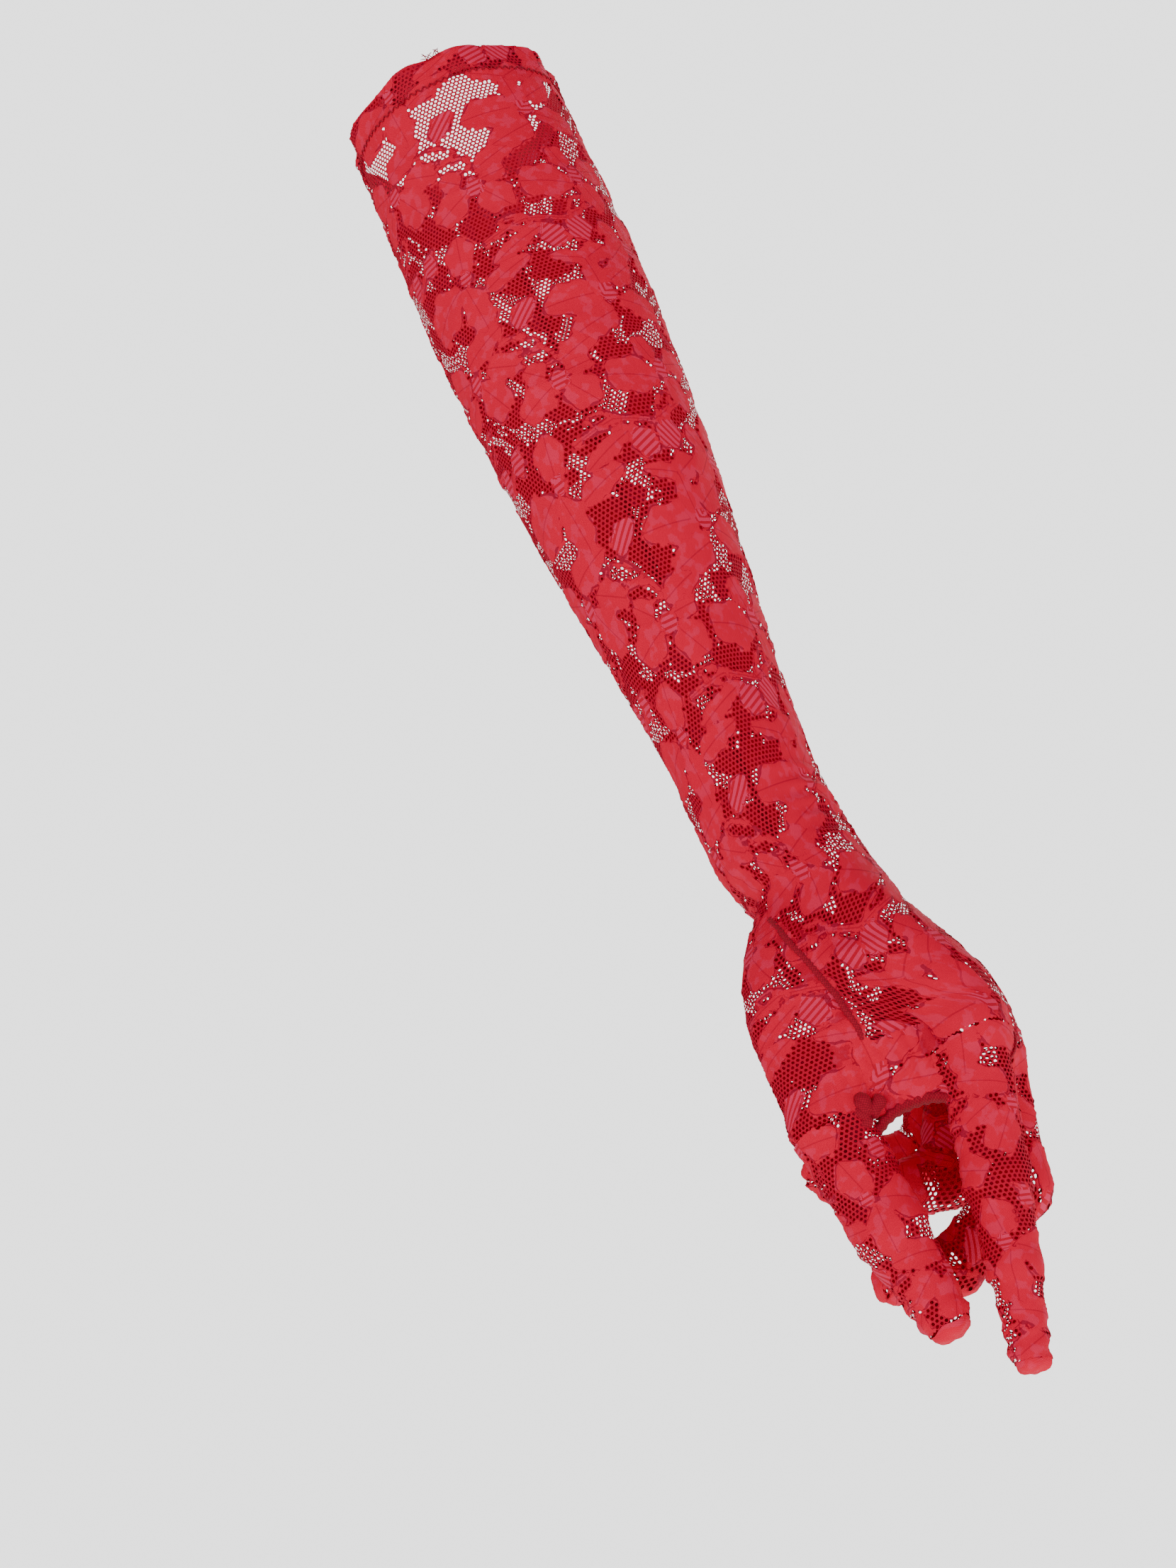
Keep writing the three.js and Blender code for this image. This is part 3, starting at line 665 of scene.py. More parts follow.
@dataclass(frozen=True)
class LacePattern:
    """The drawing repeated over the cloth."""

    across_repeat: float = 112.0
    along_repeat: float = 80.0
    along_start: float = 20.0
    swell: float = 0.5

    def read(self, across: np.ndarray, along: np.ndarray) -> dict[str, np.ndarray]:
        """What the drawing holds at each place.

        Args:
            across: Millimetres from the middle of the cloth.
            along: Millimetres along it.

        Returns:
            rim: distance from the nearest shape's edge, below 0 inside it.
            stripe: place across the nearest bud.
            bud: 1 inside a bud.
        """
        column = np.round(across / self.across_repeat)
        u = across - column * self.across_repeat
        v = np.mod(along - self.along_start + 0.5 * self.along_repeat * column, self.along_repeat)
        rim = np.full(len(across), 9.0)
        stripe = np.zeros(len(across))
        bud = np.zeros(len(across))
        for stroke in DRAWING:
            for du in (-self.across_repeat, 0.0, self.across_repeat):
                for dv in (-self.along_repeat, 0.0, self.along_repeat):
                    found, side = stroke.distance(u + du, v + dv)
                    better = found < rim
                    rim = np.where(better, found, rim)
                    stripe = np.where(better & (found < 0.6), side, stripe)
                    if stroke.kind is Figure.BUD:
                        stripe = np.where(found < 0.6, side, stripe)
                        bud = np.where(found < 0.0, 1.0, bud)
        return {"rim": rim - self.swell, "stripe": stripe, "bud": bud}


PATTERN = LacePattern()


# ---------------------------------------------------------------- lace as real mesh


@dataclass(frozen=True)
class Net:
    """The hexagon net that the lace is knitted as."""

    pitch: float = 1.62
    row: float = 1.28
    hole: float = 0.6
    rise: float = 0.28
    cord_rise: float = 0.3
    jitter: float = 0.09


def flat_areas(u: np.ndarray, v: np.ndarray) -> np.ndarray:
    """Area of each cell of the net while the cloth lies flat, in square millimetres.

    Args:
        u: Places of each cell's corners across the cloth, one row for each cell.
        v: Their places along it.

    Returns:
        One area for each cell.
    """
    return np.abs((u * np.roll(v, -1, axis=1) - np.roll(u, -1, axis=1) * v).sum(axis=1)) / 2


@dataclass
class LaceCloth:
    """One continuous length of lace on a chart, cut into pieces by rows."""

    chart: Chart
    pattern_across: float = 0.0
    pattern_along: float = 0.0
    pattern_scale: float = 1.0
    keep: object = None
    lift: object = None
    dense: object = None
    net: Net = Net()
    cut_size: tuple[float, float] = (0.0, 0.0)
    cut_area: float = 0.0

    def build(self, name: str, start: float, end: float) -> bpy.types.Object:
        """Knit the rows between two places along the cloth.

        Args:
            name: Name of the piece.
            start: First place along the cloth, in millimetres.
            end: Last place.

        Returns:
            The lace as one mesh, with its drawing in attributes.
        """
        net, chart = self.net, self.chart
        first, last = round(start / net.row), round(end / net.row)
        cells = []
        for j in range(first, last):
            half = float(chart.width_at(np.array([j * net.row]))[0]) / 2
            shift = 0.5 * (j % 2)
            low = math.ceil((-half) / net.pitch - shift)
            high = math.floor(half / net.pitch - shift)
            cells.extend((2 * i + (j % 2), j) for i in range(low, high + 1))
        cells = np.array(cells)
        offsets = np.array([(0, -2), (1, -1), (1, 1), (0, 2), (-1, 1), (-1, -1)])
        keys = np.stack(
            [cells[:, None, 0] + offsets[:, 0], 3 * cells[:, None, 1] + offsets[:, 1]], axis=-1
        )
        flat = keys.reshape(-1, 2)
        unique, back = np.unique(flat, axis=0, return_inverse=True)
        ring = back.reshape(-1, 6)
        u = unique[:, 0] * net.pitch / 2
        v = unique[:, 1] * net.row / 3
        u, v = self.snap(u, v, start, end)
        middle_u, middle_v = u[ring].mean(1), v[ring].mean(1)
        facts = self.read(middle_u, middle_v)
        filled = facts["rim"] < 0.0
        centres, _ = chart.place(middle_u, middle_v)
        if self.dense is not None:
            filled |= self.dense(centres, middle_u, middle_v)
        if self.keep is not None:
            kept = self.keep(centres)
            ring, filled = ring[kept], filled[kept]
            middle_u, middle_v = middle_u[kept], middle_v[kept]
            facts = {k: a[kept] for k, a in facts.items()}
        used, ring = np.unique(ring, return_inverse=True)
        ring = ring.reshape(-1, 6)
        u, v = u[used], v[used]
        self.cut_size = (float(np.ptp(u)), float(np.ptp(v)))
        cells = flat_areas(u[ring], v[ring])
        self.cut_area = float(cells.sum() - cells[~filled].sum() * net.hole**2)
        open_ring = ring[~filled]
        inner_u = middle_u[~filled, None] + (u[open_ring] - middle_u[~filled, None]) * net.hole
        inner_v = middle_v[~filled, None] + (v[open_ring] - middle_v[~filled, None]) * net.hole
        all_u = np.concatenate([u, inner_u.ravel()])
        all_v = np.concatenate([v, inner_v.ravel()])
        corner = self.read(all_u, all_v)
        places, normals = chart.place(all_u, all_v)
        rise = self.relief(corner["rim"], all_u, all_v)
        if self.lift is not None:
            rise = rise + self.lift(places, all_v)
        places = places + normals * rise[:, None]
        inner = len(u) + np.arange(open_ring.size).reshape(-1, 6)
        turned = np.roll(open_ring, -1, axis=1)
        inner_turned = np.roll(inner, -1, axis=1)
        quads = np.stack([open_ring, turned, inner_turned, inner], axis=-1).reshape(-1, 4)
        faces = ring[filled].tolist() + quads.tolist()
        made = new_mesh(name, places, faces)
        shares = 0.5 + all_u / chart.width_at(all_v)
        self.dress(made, corner, facts, filled, shares, (all_v - start) / (end - start), all_u, all_v)
        return made

    def read(self, u: np.ndarray, v: np.ndarray) -> dict[str, np.ndarray]:
        """Read the drawing at places on this cloth."""
        return PATTERN.read(
            u / self.pattern_scale + self.pattern_across, v / self.pattern_scale + self.pattern_along
        )

    def snap(self, u: np.ndarray, v: np.ndarray, start: float, end: float) -> tuple:
        """Pull the outermost corners onto the seam, and loosen the net a little elsewhere."""
        half = self.chart.width_at(v) / 2
        net = self.net
        edge = np.abs(u) > half - 0.35 * net.pitch
        wander_u = net.jitter * ripple(u * 3.1, v * 2.7, 5.0, 0.4) + 0.5 * ripple(u, v, 31.0, 1.9)
        wander_v = net.jitter * ripple(u * 2.9, v * 3.3, 5.0, 2.6)
        free = ~edge & (half - np.abs(u) > 3.0)
        u = np.where(edge, np.sign(u) * half, u + np.where(free, wander_u, 0.0))
        return u, v + np.where(free, wander_v, 0.0)

    def relief(self, rim: np.ndarray, u: np.ndarray, v: np.ndarray) -> np.ndarray:
        """Height of the thread above the net: padded shapes, and a cord round their edges."""
        net = self.net
        pad = net.rise * smooth_step(0.5, -0.5, rim)
        cord = net.cord_rise * np.exp(-(((rim + 0.35) / 0.7) ** 2))
        return pad + cord + 0.05 * ripple(u * 4.0, v * 4.0, 6.0, 0.7)

    def dress(self, made, corner, facts, filled, share, along, u, v) -> None:
        """Store the drawing and the layout of the cloth on the mesh."""
        mesh = made.data
        for name, values in (("rim", corner["rim"]), ("stripe", corner["stripe"])):
            mesh.attributes.new(name, "FLOAT", "POINT").data.foreach_set(
                "value", values.astype(np.float32)
            )
        quads = 6 * int((~filled).sum())
        for name, values in (("solid", np.ones(int(filled.sum()))), ("bud", facts["bud"][filled])):
            whole = np.concatenate([values, np.zeros(quads)]).astype(np.float32)
            mesh.attributes.new(name, "FLOAT", "FACE").data.foreach_set("value", whole)
        loops = np.empty(len(mesh.loops), np.int32)
        mesh.loops.foreach_get("vertex_index", loops)
        for name, pair in (("OFBake", (share, along)), ("cloth", (u / 10.0, v / 10.0))):
            layer = mesh.uv_layers.new(name=name)
            spots = np.stack([np.clip(pair[0], -99, 99), pair[1]], axis=-1)[loops]
            if name == "OFBake":
                spots = 0.005 + 0.99 * np.clip(spots, 0.0, 1.0)
            layer.data.foreach_set("uv", spots.astype(np.float32).ravel())


# ---------------------------------------------------------------- finishes


def node(tree: bpy.types.NodeTree, kind: str, **values) -> bpy.types.Node:
    """Add a node and set its plain properties."""
    made = tree.nodes.new(kind)
    for name, value in values.items():
        setattr(made, name, value)
    return made


def maths(tree: bpy.types.NodeTree, operation: str, first, second=None, third=None):
    """Add a Math node whose inputs are sockets or numbers, and return its output."""
    made = node(tree, "ShaderNodeMath", operation=operation)
    for k, value in enumerate((first, second, third)):
        if value is None:
            continue
        if isinstance(value, (int, float)):
            made.inputs[k].default_value = value
        else:
            tree.links.new(value, made.inputs[k])
    return made.outputs[0]


def blend_colour(tree: bpy.types.NodeTree, share, first, second):
    """Mix two colours, each a socket or a plain colour, and return the result's socket."""
    made = node(tree, "ShaderNodeMix", data_type="RGBA")
    tree.links.new(share, made.inputs["Factor"])
    for key, value in (("A", first), ("B", second)):
        spot = next(s for s in made.inputs if s.name == key and s.type == "RGBA")
        if isinstance(value, tuple):
            spot.default_value = (*value, 1.0)
        else:
            tree.links.new(value, spot)
    return next(s for s in made.outputs if s.type == "RGBA")


def thread_group() -> bpy.types.NodeTree:
    """The knitted thread that every part of the glove shares: fine ribs and uneven dye."""
    found = bpy.data.node_groups.get("knitted_thread")
    if found:
        return found
    group = bpy.data.node_groups.new("knitted_thread", "ShaderNodeTree")
    face = group.interface
    face.new_socket("Place", in_out="INPUT", socket_type="NodeSocketVector")
    face.new_socket("Pitch", in_out="INPUT", socket_type="NodeSocketFloat")
    face.new_socket("Ribs", in_out="OUTPUT", socket_type="NodeSocketFloat")
    face.new_socket("Dye", in_out="OUTPUT", socket_type="NodeSocketFloat")
    inside = node(group, "NodeGroupInput")
    outside = node(group, "NodeGroupOutput")
    split = node(group, "ShaderNodeSeparateXYZ")
    group.links.new(inside.outputs["Place"], split.inputs[0])
    turns = maths(group, "DIVIDE", math.tau, inside.outputs["Pitch"])
    rib = maths(group, "SINE", maths(group, "MULTIPLY", split.outputs[0], turns))
    cross = maths(group, "SINE", maths(group, "MULTIPLY", split.outputs[1], turns))
    weave = maths(group, "MULTIPLY_ADD", maths(group, "MULTIPLY", rib, cross), 0.5, 0.5)
    noise = node(group, "ShaderNodeTexNoise")
    noise.inputs["Scale"].default_value = 2.2
    noise.inputs["Detail"].default_value = 5.0
    group.links.new(inside.outputs["Place"], noise.inputs["Vector"])
    group.links.new(weave, outside.inputs["Ribs"])
    group.links.new(noise.outputs["Fac"], outside.inputs["Dye"])
    return group


@dataclass(frozen=True)
class LaceFinish:
    """Red lace: bright padded shapes with painted shade in the rib valleys, a darker net, dark cords at the edges
    that are part dark thread and part painted shade, and pink satin.
    """

    name: str = "red_lace"
    padded: tuple[float, float, float] = (0.84, 0.0, 0.040)
    # A deeper red: painted shade in the rib valleys, and the dark bars of the buds' stripes.
    deep_red_and_rib_shade: tuple[float, float, float] = (0.62, 0.0, 0.026)
    satin: tuple[float, float, float] = (0.84, 0.030, 0.110)
    net: tuple[float, float, float] = (0.56, 0.0, 0.028)
    # Dark cord thread, used for the veins and, along the shapes' edges, also as painted shade of the raised
    # relief.
    cord: tuple[float, float, float] = (0.12, 0.0, 0.008)
    roughness: float = 0.6
    sheen: float = 0.02
    thread_pitch: float = 0.055

    def build(self) -> bpy.types.Material:
        """Make the material."""
        material = bpy.data.materials.new(self.name)
        material.use_nodes = True
        tree = material.node_tree
        tree.nodes.clear()
        out = node(tree, "ShaderNodeOutputMaterial")
        shader = node(tree, "ShaderNodeBsdfPrincipled")
        shader.inputs["Sheen Weight"].default_value = self.sheen
        shader.inputs["Sheen Roughness"].default_value = 0.4
        shader.inputs["Sheen Tint"].default_value = (1.0, 0.45, 0.5, 1.0)
        shader.inputs["Specular IOR Level"].default_value = 0.1
        tree.links.new(shader.outputs[0], out.inputs["Surface"])
        cloth = node(tree, "ShaderNodeUVMap", uv_map="cloth")
        thread = node(tree, "ShaderNodeGroup", node_tree=thread_group())
        thread.inputs["Pitch"].default_value = self.thread_pitch
        tree.links.new(cloth.outputs[0], thread.inputs["Place"])
        ribs, dye = thread.outputs["Ribs"], thread.outputs["Dye"]
        read = {
            key: node(tree, "ShaderNodeAttribute", attribute_name=key).outputs["Fac"]
            for key in ("rim", "stripe", "solid", "bud")
        }
        patches = maths(tree, "MULTIPLY", maths(tree, "SUBTRACT", dye, 0.52), 9.0)
        patches = maths(tree, "MINIMUM", maths(tree, "MAXIMUM", patches, 0.0), 0.45)
        # Painted shade: the padded red turns deeper in the valleys of the ribs, where the bump is low.
        rib_valley_shade = maths(tree, "MULTIPLY", maths(tree, "SUBTRACT", 1.0, ribs), 0.45)
        colour = blend_colour(tree, rib_valley_shade, self.padded, self.deep_red_and_rib_shade)
        colour = blend_colour(tree, patches, colour, self.satin)
        bars = maths(tree, "SINE", maths(tree, "MULTIPLY", read["stripe"], 3.3))
        bars = maths(tree, "GREATER_THAN", bars, -0.2)
        striped = blend_colour(tree, bars, self.deep_red_and_rib_shade, self.satin)
        vein = maths(tree, "LESS_THAN", maths(tree, "ABSOLUTE", read["stripe"]), 0.22)
        colour = blend_colour(tree, maths(tree, "MULTIPLY", vein, 0.28), colour, self.cord)
        colour = blend_colour(tree, read["bud"], colour, striped)
        # Dark line along each shape's edge: part dark cord thread, part painted shade where the raised cord and
        # padding would shadow the cloth.
        inner = maths(tree, "ABSOLUTE", maths(tree, "ADD", read["rim"], 0.3))
        reach = maths(tree, "MULTIPLY_ADD", dye, 2.4, -0.98)
        line = maths(tree, "LESS_THAN", inner, reach)
        colour = blend_colour(tree, maths(tree, "MULTIPLY", line, 0.55), colour, self.cord)
        colour = blend_colour(tree, read["solid"], self.net, colour)
        tree.links.new(colour, shader.inputs["Base Color"])
        rough = maths(tree, "MULTIPLY_ADD", dye, -0.12, self.roughness + 0.08)
        tree.links.new(rough, shader.inputs["Roughness"])
        bump = node(tree, "ShaderNodeBump")
        bump.inputs["Strength"].default_value = 0.55
        bump.inputs["Distance"].default_value = 0.00018
        tree.links.new(ribs, bump.inputs["Height"])
        tree.links.new(bump.outputs[0], shader.inputs["Normal"])
        return material


@dataclass(frozen=True)
class ThreadFinish:
    """Sewing thread or woven elastic, in one red with fine ribs, darker in the rib grooves as painted shade and
    uneven in dye.
    """

    name: str
    light: tuple[float, float, float]
    dark: tuple[float, float, float]
    pitch: float
    roughness: float

    def build(self) -> bpy.types.Material:
        """Make the material."""
        material = bpy.data.materials.new(self.name)
        material.use_nodes = True
        tree = material.node_tree
        shader = tree.nodes["Principled BSDF"]
        shader.inputs["Sheen Weight"].default_value = 0.05
        shader.inputs["Specular IOR Level"].default_value = 0.2
        cloth = node(tree, "ShaderNodeUVMap", uv_map="cloth")
        thread = node(tree, "ShaderNodeGroup", node_tree=thread_group())
        thread.inputs["Pitch"].default_value = self.pitch
        tree.links.new(cloth.outputs[0], thread.inputs["Place"])
        # Painted shade in the rib grooves, mixed with uneven dye: the colour runs from dark where the ribs are low
        # to light where they are high.
        rib_shade_and_dye = maths(
            tree, "MULTIPLY_ADD", thread.outputs["Ribs"], 0.7, maths(tree, "MULTIPLY", thread.outputs["Dye"], 0.3)
        )
        tree.links.new(blend_colour(tree, rib_shade_and_dye, self.dark, self.light), shader.inputs["Base Color"])
        rough = maths(tree, "MULTIPLY_ADD", thread.outputs["Dye"], 0.15, self.roughness)
        tree.links.new(rough, shader.inputs["Roughness"])
        bump = node(tree, "ShaderNodeBump")
        bump.inputs["Strength"].default_value = 0.6
        bump.inputs["Distance"].default_value = 0.00015
        tree.links.new(thread.outputs["Ribs"], bump.inputs["Height"])
        tree.links.new(bump.outputs[0], shader.inputs["Normal"])
        return material


@dataclass
class Finishes:
    """The materials of the glove, built once."""

    lace: bpy.types.Material = field(default_factory=lambda: LaceFinish().build())
    thread: bpy.types.Material = field(
        default_factory=lambda: ThreadFinish(
            "seam_thread", (0.50, 0.0, 0.024), (0.17, 0.0, 0.008), 0.09, 0.65
        ).build()
    )
    elastic: bpy.types.Material = field(
        default_factory=lambda: ThreadFinish(
            "woven_elastic", (0.72, 0.02, 0.05), (0.36, 0.0, 0.02), 0.12, 0.6
        ).build()
    )


# ---------------------------------------------------------------- seams and bands


@dataclass(frozen=True)
class Ridge:
    """A rounded ridge of overlocked thread that follows a line on the cloth."""

    half_width: float = 1.15
    half_rise: float = 0.62
    stitch: float = 1.5
    knot: float = 0.2
    sides: int = 9
    step: float = 0.42

    def build(self, name: str, line: np.ndarray, normals: np.ndarray) -> bpy.types.Object:
        """Sew the ridge along a line.

        Args:
            name: Name of the piece.
            line: Points in millimetres.
            normals: The cloth's normal at each point.

        Returns:
            One closed mesh with rounded ends.
        """
        run = np.concatenate([[0.0], np.cumsum(np.linalg.norm(np.diff(line, axis=0), axis=1))])
        count = max(4, int(run[-1] / self.step))
        at = np.linspace(0.0, run[-1], count)
        path = np.stack([np.interp(at, run, line[:, c]) for c in range(3)], axis=-1)
        up = unit(np.stack([np.interp(at, run, normals[:, c]) for c in range(3)], axis=-1))
        ahead = unit(np.gradient(path, axis=0))
        side = unit(np.cross(ahead, up))
        angle = np.linspace(0.0, math.tau, self.sides, endpoint=False)
        ends = np.sqrt(np.clip(np.minimum(at, run[-1] - at) / 1.2 + 0.08, 0.0, 1.0))
        wave = 1.0 + self.knot * np.sin(math.tau * at[:, None] / self.stitch + 1.2 * np.cos(angle))
        size = wave * ends[:, None]
        points = (
            path[:, None]
            + up[:, None] * 0.25
            + side[:, None] * (np.cos(angle) * size * self.half_width)[..., None]
            + up[:, None] * (np.sin(angle) * size * self.half_rise)[..., None]
        )
        n = self.sides
        faces = []
        for k in range(count - 1):
            for j in range(n):
                m = (j + 1) % n
                faces.append((k * n + j, k * n + m, (k + 1) * n + m, (k + 1) * n + j))
        faces.append(tuple(range(n - 1, -1, -1)))
        faces.append(tuple((count - 1) * n + j for j in range(n)))
        made = new_mesh(name, points.reshape(-1, 3), faces)
        lay_uv(made, np.repeat(at, n), np.tile(np.arange(n) / n, count), run[-1], 2 * self.half_width)
        return made


def lay_uv(made: bpy.types.Object, along: np.ndarray, around: np.ndarray, length: float, girth: float) -> None:
    """Give a band its own layout: one map for its pattern and one for its baked picture."""
    mesh = made.data
    loops = np.empty(len(mesh.loops), np.int32)
    mesh.loops.foreach_get("vertex_index", loops)
    totals = np.empty(len(mesh.polygons), np.int32)
    mesh.polygons.foreach_get("loop_total", totals)
    v = around[loops].copy()
    face = np.repeat(np.arange(len(totals)), totals)
    high = np.zeros(len(totals))
    np.maximum.at(high, face, v)
    v = np.where((high[face] > 0.7) & (v < 0.2), v + 1.0, v)
    u = along[loops]
    for name, pair in (
        ("OFBake", (0.005 + 0.99 * u / length, 0.005 + 0.99 * np.clip(v, 0, 1))),
        ("cloth", (u / 10.0, v * girth * 2.4 / 10.0)),
    ):
        layer = mesh.uv_layers.new(name=name)
        layer.data.foreach_set("uv", np.stack(pair, axis=-1).astype(np.float32).ravel())


# ---------------------------------------------------------------- the glove


@dataclass
class Piece:
    """One finished piece and how it moves."""

    made: bpy.types.Object
    bodies: tuple[str, ...]
    start: tuple[float, float, float] = (0.0, 0.0, 0.0)
    end: tuple[float, float, float] = (0.0, 0.0, -1.0)
    nodes: tuple[str, ...] = ()

    def attach(self) -> None:
        """Hand the piece to the frame."""
        if self.nodes:
            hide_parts(*self.nodes)
        if len(self.bodies) == 1:
            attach(self.made, self.bodies[0])
        else:
            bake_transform(self.made)


@dataclass
class Glove:
    """Shared work of the glove's parts: knit, sew, dress, attach and report."""

    finishes: Finishes
    pieces: list[Piece] = field(default_factory=list)

    def add_lace(
        self,
        cloth: LaceCloth,
        name: str,
        rows: tuple[float, float],
        bodies: tuple[str, ...],
        bend: tuple[tuple, tuple],
        nodes: tuple[str, ...],
        seam_nodes: tuple[str, ...] = (),
        ridge: Ridge = Ridge(),
    ) -> None:
        """Knit one length of lace with its seam, and attach both."""
        made = cloth.build(name, *rows)
        made.data.materials.append(self.finishes.lace)
        if seam_nodes:
            self.add_seam(cloth, name, rows, bodies, bend, seam_nodes, ridge)
        Piece(made, bodies, bend[0], bend[1], nodes).attach()
        log.info("%s: %d faces", name, len(made.data.polygons))

    def add_seam(self, cloth, name, rows, bodies, bend, nodes, ridge) -> bpy.types.Object:
        """Sew the overlocked ridge along the closed edge of a length of lace."""
        along = np.arange(rows[0], rows[1] + 0.01, 0.5)
        half = cloth.chart.width_at(along) / 2
        line, up = cloth.chart.place(half, along)
        if cloth.keep is not None:
            kept = cloth.keep(line)
            line, up = line[kept], up[kept]
        if cloth.lift is not None:
            line = line + up * cloth.lift(line, along)[:, None]
        made = ridge.build(f"{name}_seam", line, up)
        made.data.materials.append(self.finishes.thread)
        Piece(made, bodies, bend[0], bend[1], nodes).attach()
        return made


@dataclass
class Sleeve(Glove):
    """The sleeve, from the turned hem to the wrist, and the hand down to the knuckles."""

    elbow: float = -60.0
    elbow_half: float = 55.0
    wrist: float = -290.0
    wrist_half: float = 35.0
    hem: float = 11.0
    hem_gap: float = 1.0
    spacing: float = 2.0
    bottom: float = -396.0
    settled_height: float = -388.0
    gather_knot: tuple[float, float, float] = (-7.6, -36.5, -405.0)
    gather_folds: tuple[tuple[float, float, float], ...] = (
        (-9.0, -1.6, 3.5),
        (-8.0, -1.5, -4.0),
        (-2.0, -0.6, 8.5),
        (5.5, 1.6, 5.0),
        (-4.5, -1.0, 7.0),
    )
    tufts: int = 9
    tuft_at: float = 4.0
    tuft_seed: int = 11
    lower_start: float = 118.0
    hand_start: float = 253.0

    def centre(self, height: np.ndarray) -> np.ndarray:
        """Middle of the rings, inside the form at every height."""
        rows = np.array(
            [
                (-396, 27, -8), (-388, 26, -8), (-363, 19, -7), (-345, 12, -5), (-325, 6, -2),
                (-290, 0, 0), (0, 0, 0),
            ],
            float,
        )
        x = np.interp(height, rows[:, 0], rows[:, 1])
        y = np.interp(height, rows[:, 0], rows[:, 2])
        return np.stack([x, y, height], axis=-1)

    def slack(self, points: np.ndarray, normals: np.ndarray, reach: np.ndarray) -> np.ndarray:
        """Wrinkles: loose at the cuff, gathered at the back of the wrist, tight elsewhere."""
        z, x, y = points[..., 2], points[..., 0], points[..., 1]
        angle = np.arctan2(y, x)
        lift = 0.35 * ripple(angle * 30.0, z * 1.6, 26.0, 0.8)
        cuff = smooth_step(-16.0, 0.0, z)
        lift = lift + cuff * 1.1 * np.sin(9.0 * angle + 0.9 * np.sin(4.0 * angle))
        wrist = np.exp(-(((z + 299.0) / 15.0) ** 2)) * smooth_step(0.2, 0.9, normals[..., 0])
        lift = lift + wrist * 0.9 * np.sin(z * 0.95 + 1.4 * np.sin(angle * 2.2) + angle * 1.5)
        palm = np.exp(-(((z + 322.0) / 16.0) ** 2)) * smooth_step(0.2, 0.9, -normals[..., 0])
        lift = lift + palm * 0.5 * np.sin(z * 0.8 + 2.0 * y / 20.0)
        return lift * smooth_step(-393.0, -382.0, z)

    def chart(self) -> Chart:
        """Lay the sleeve and hand round the form, with the seam on the little finger's side."""
        height = np.arange(0.0, self.bottom - 0.5, -self.spacing)
        count = len(height)
        stretch = 1.0 + 0.22 * smooth_step(-130.0, -290.0, height) * -1.0
        stretch = stretch + 0.12 * smooth_step(-300.0, -380.0, height)
        return Chart(
            self.centre(height),
            np.tile([0.0, 1.0, 0.0], (count, 1)),
            np.tile([-1.0, 0.0, 0.0], (count, 1)),
            self.cloth_length(-height),
            FORM.whole,
            96.0,
            stretch,
            self.slack,
            300,
            int(-self.settled_height / self.spacing),
        )

    @staticmethod
    def cloth_length(depth: np.ndarray) -> np.ndarray:
        """Length along the cloth at each depth: the cloth is pulled longer over the narrow wrist."""
        return depth - 0.16 * np.maximum(depth - 150.0, 0.0) ** 1.0

    def build(self) -> None:
        """Build the sleeve, the hem, the hand and the set-in seam."""
        chart = self.chart()
        length = self.cloth_length
        cloth = LaceCloth(chart, lift=None)
        bend = ((0.0, 0.0, -5.0), (0.0, 0.0, -115.0))
        self.add_lace(
            cloth, "sleeve_upper_lace", (0.0, self.lower_start), ("upper_sleeve", "forearm"),
            bend, ("sleeve_upper",), ("sleeve_seam_upper",),
        )
        self.build_hem(chart, bend)
        rows = (self.lower_start, float(length(self.hand_start)))
        self.add_lace(
            cloth, "sleeve_forearm_lace", rows, ("forearm",), bend, ("sleeve_forearm",), ("sleeve_seam_forearm",)
        )
        wrist = ((0.0, 0.0, self.wrist + self.wrist_half), (0.0, 0.0, self.wrist - self.wrist_half))
        hand = LaceCloth(chart, keep=self.hand_keep)
        rows = (float(length(self.hand_start)), float(length(-self.bottom)))
        self.add_lace(
            hand, "hand_lace", rows, ("forearm", "hand"), wrist,
            ("hand_back", "hand_palm"), ("hand_seam",),
        )
        self.build_set_in(chart, wrist)
        self.build_web_roll(wrist)
        self.build_gathers(wrist)

    @staticmethod
    def hand_keep(points: np.ndarray) -> np.ndarray:
        """True where the cloth belongs to the hand and not to a finger or the thumb."""
        return ~FORM.is_finger(points) & ~FORM.is_set_in(points)

    def build_set_in(self, chart: Chart, bend: tuple) -> None:
        """Sew the seam where the thumb's own piece of lace is set into the hand."""
        front, back = [], []
        owned = FORM.is_set_in(chart.points)
        for k in range(len(chart.reach)):
            columns = np.flatnonzero(owned[k])
            if len(columns) and chart.points[k, 0, 2] > FORM.web_top:
                ends = sorted((columns[0], columns[-1]), key=lambda j: chart.points[k, j, 1])
                front.append((chart.points[k, ends[0]], chart.normals[k, ends[0]]))
                back.append((chart.points[k, ends[1]], chart.normals[k, ends[1]]))
        loop = front[::-1] + back
        line, up = np.array([a for a, _ in loop]), np.array([b for _, b in loop])
        for _ in range(3):
            line[1:-1] = (line[:-2] + 2.0 * line[1:-1] + line[2:]) / 4.0
        made = Ridge(half_width=0.95, half_rise=0.6).build("thumb_set_in_seam", line, up)
        made.data.materials.append(self.finishes.thread)
        Piece(made, ("forearm", "hand"), bend[0], bend[1], ("thumb_seam",)).attach()

    def build_web_roll(self, bend: tuple) -> None:
        """Roll the cloth's edge over in the crook between the thumb and the index finger."""
        turn = np.linspace(-1.0, 1.0, 41)
        line = np.stack(
            [4.5 + 12.5 * turn, np.full(41, -31.0), -404.6 - 4.2 * np.abs(turn) ** 2.6], axis=-1
        )
        up = np.tile([0.0, -1.0, 0.0], (41, 1))
        made = Ridge(half_width=1.5, half_rise=3.6, stitch=3.1, knot=0.12).build("web_roll", line, up)
        made.data.materials.append(self.finishes.thread)
        Piece(made, ("forearm", "hand"), bend[0], bend[1]).attach()

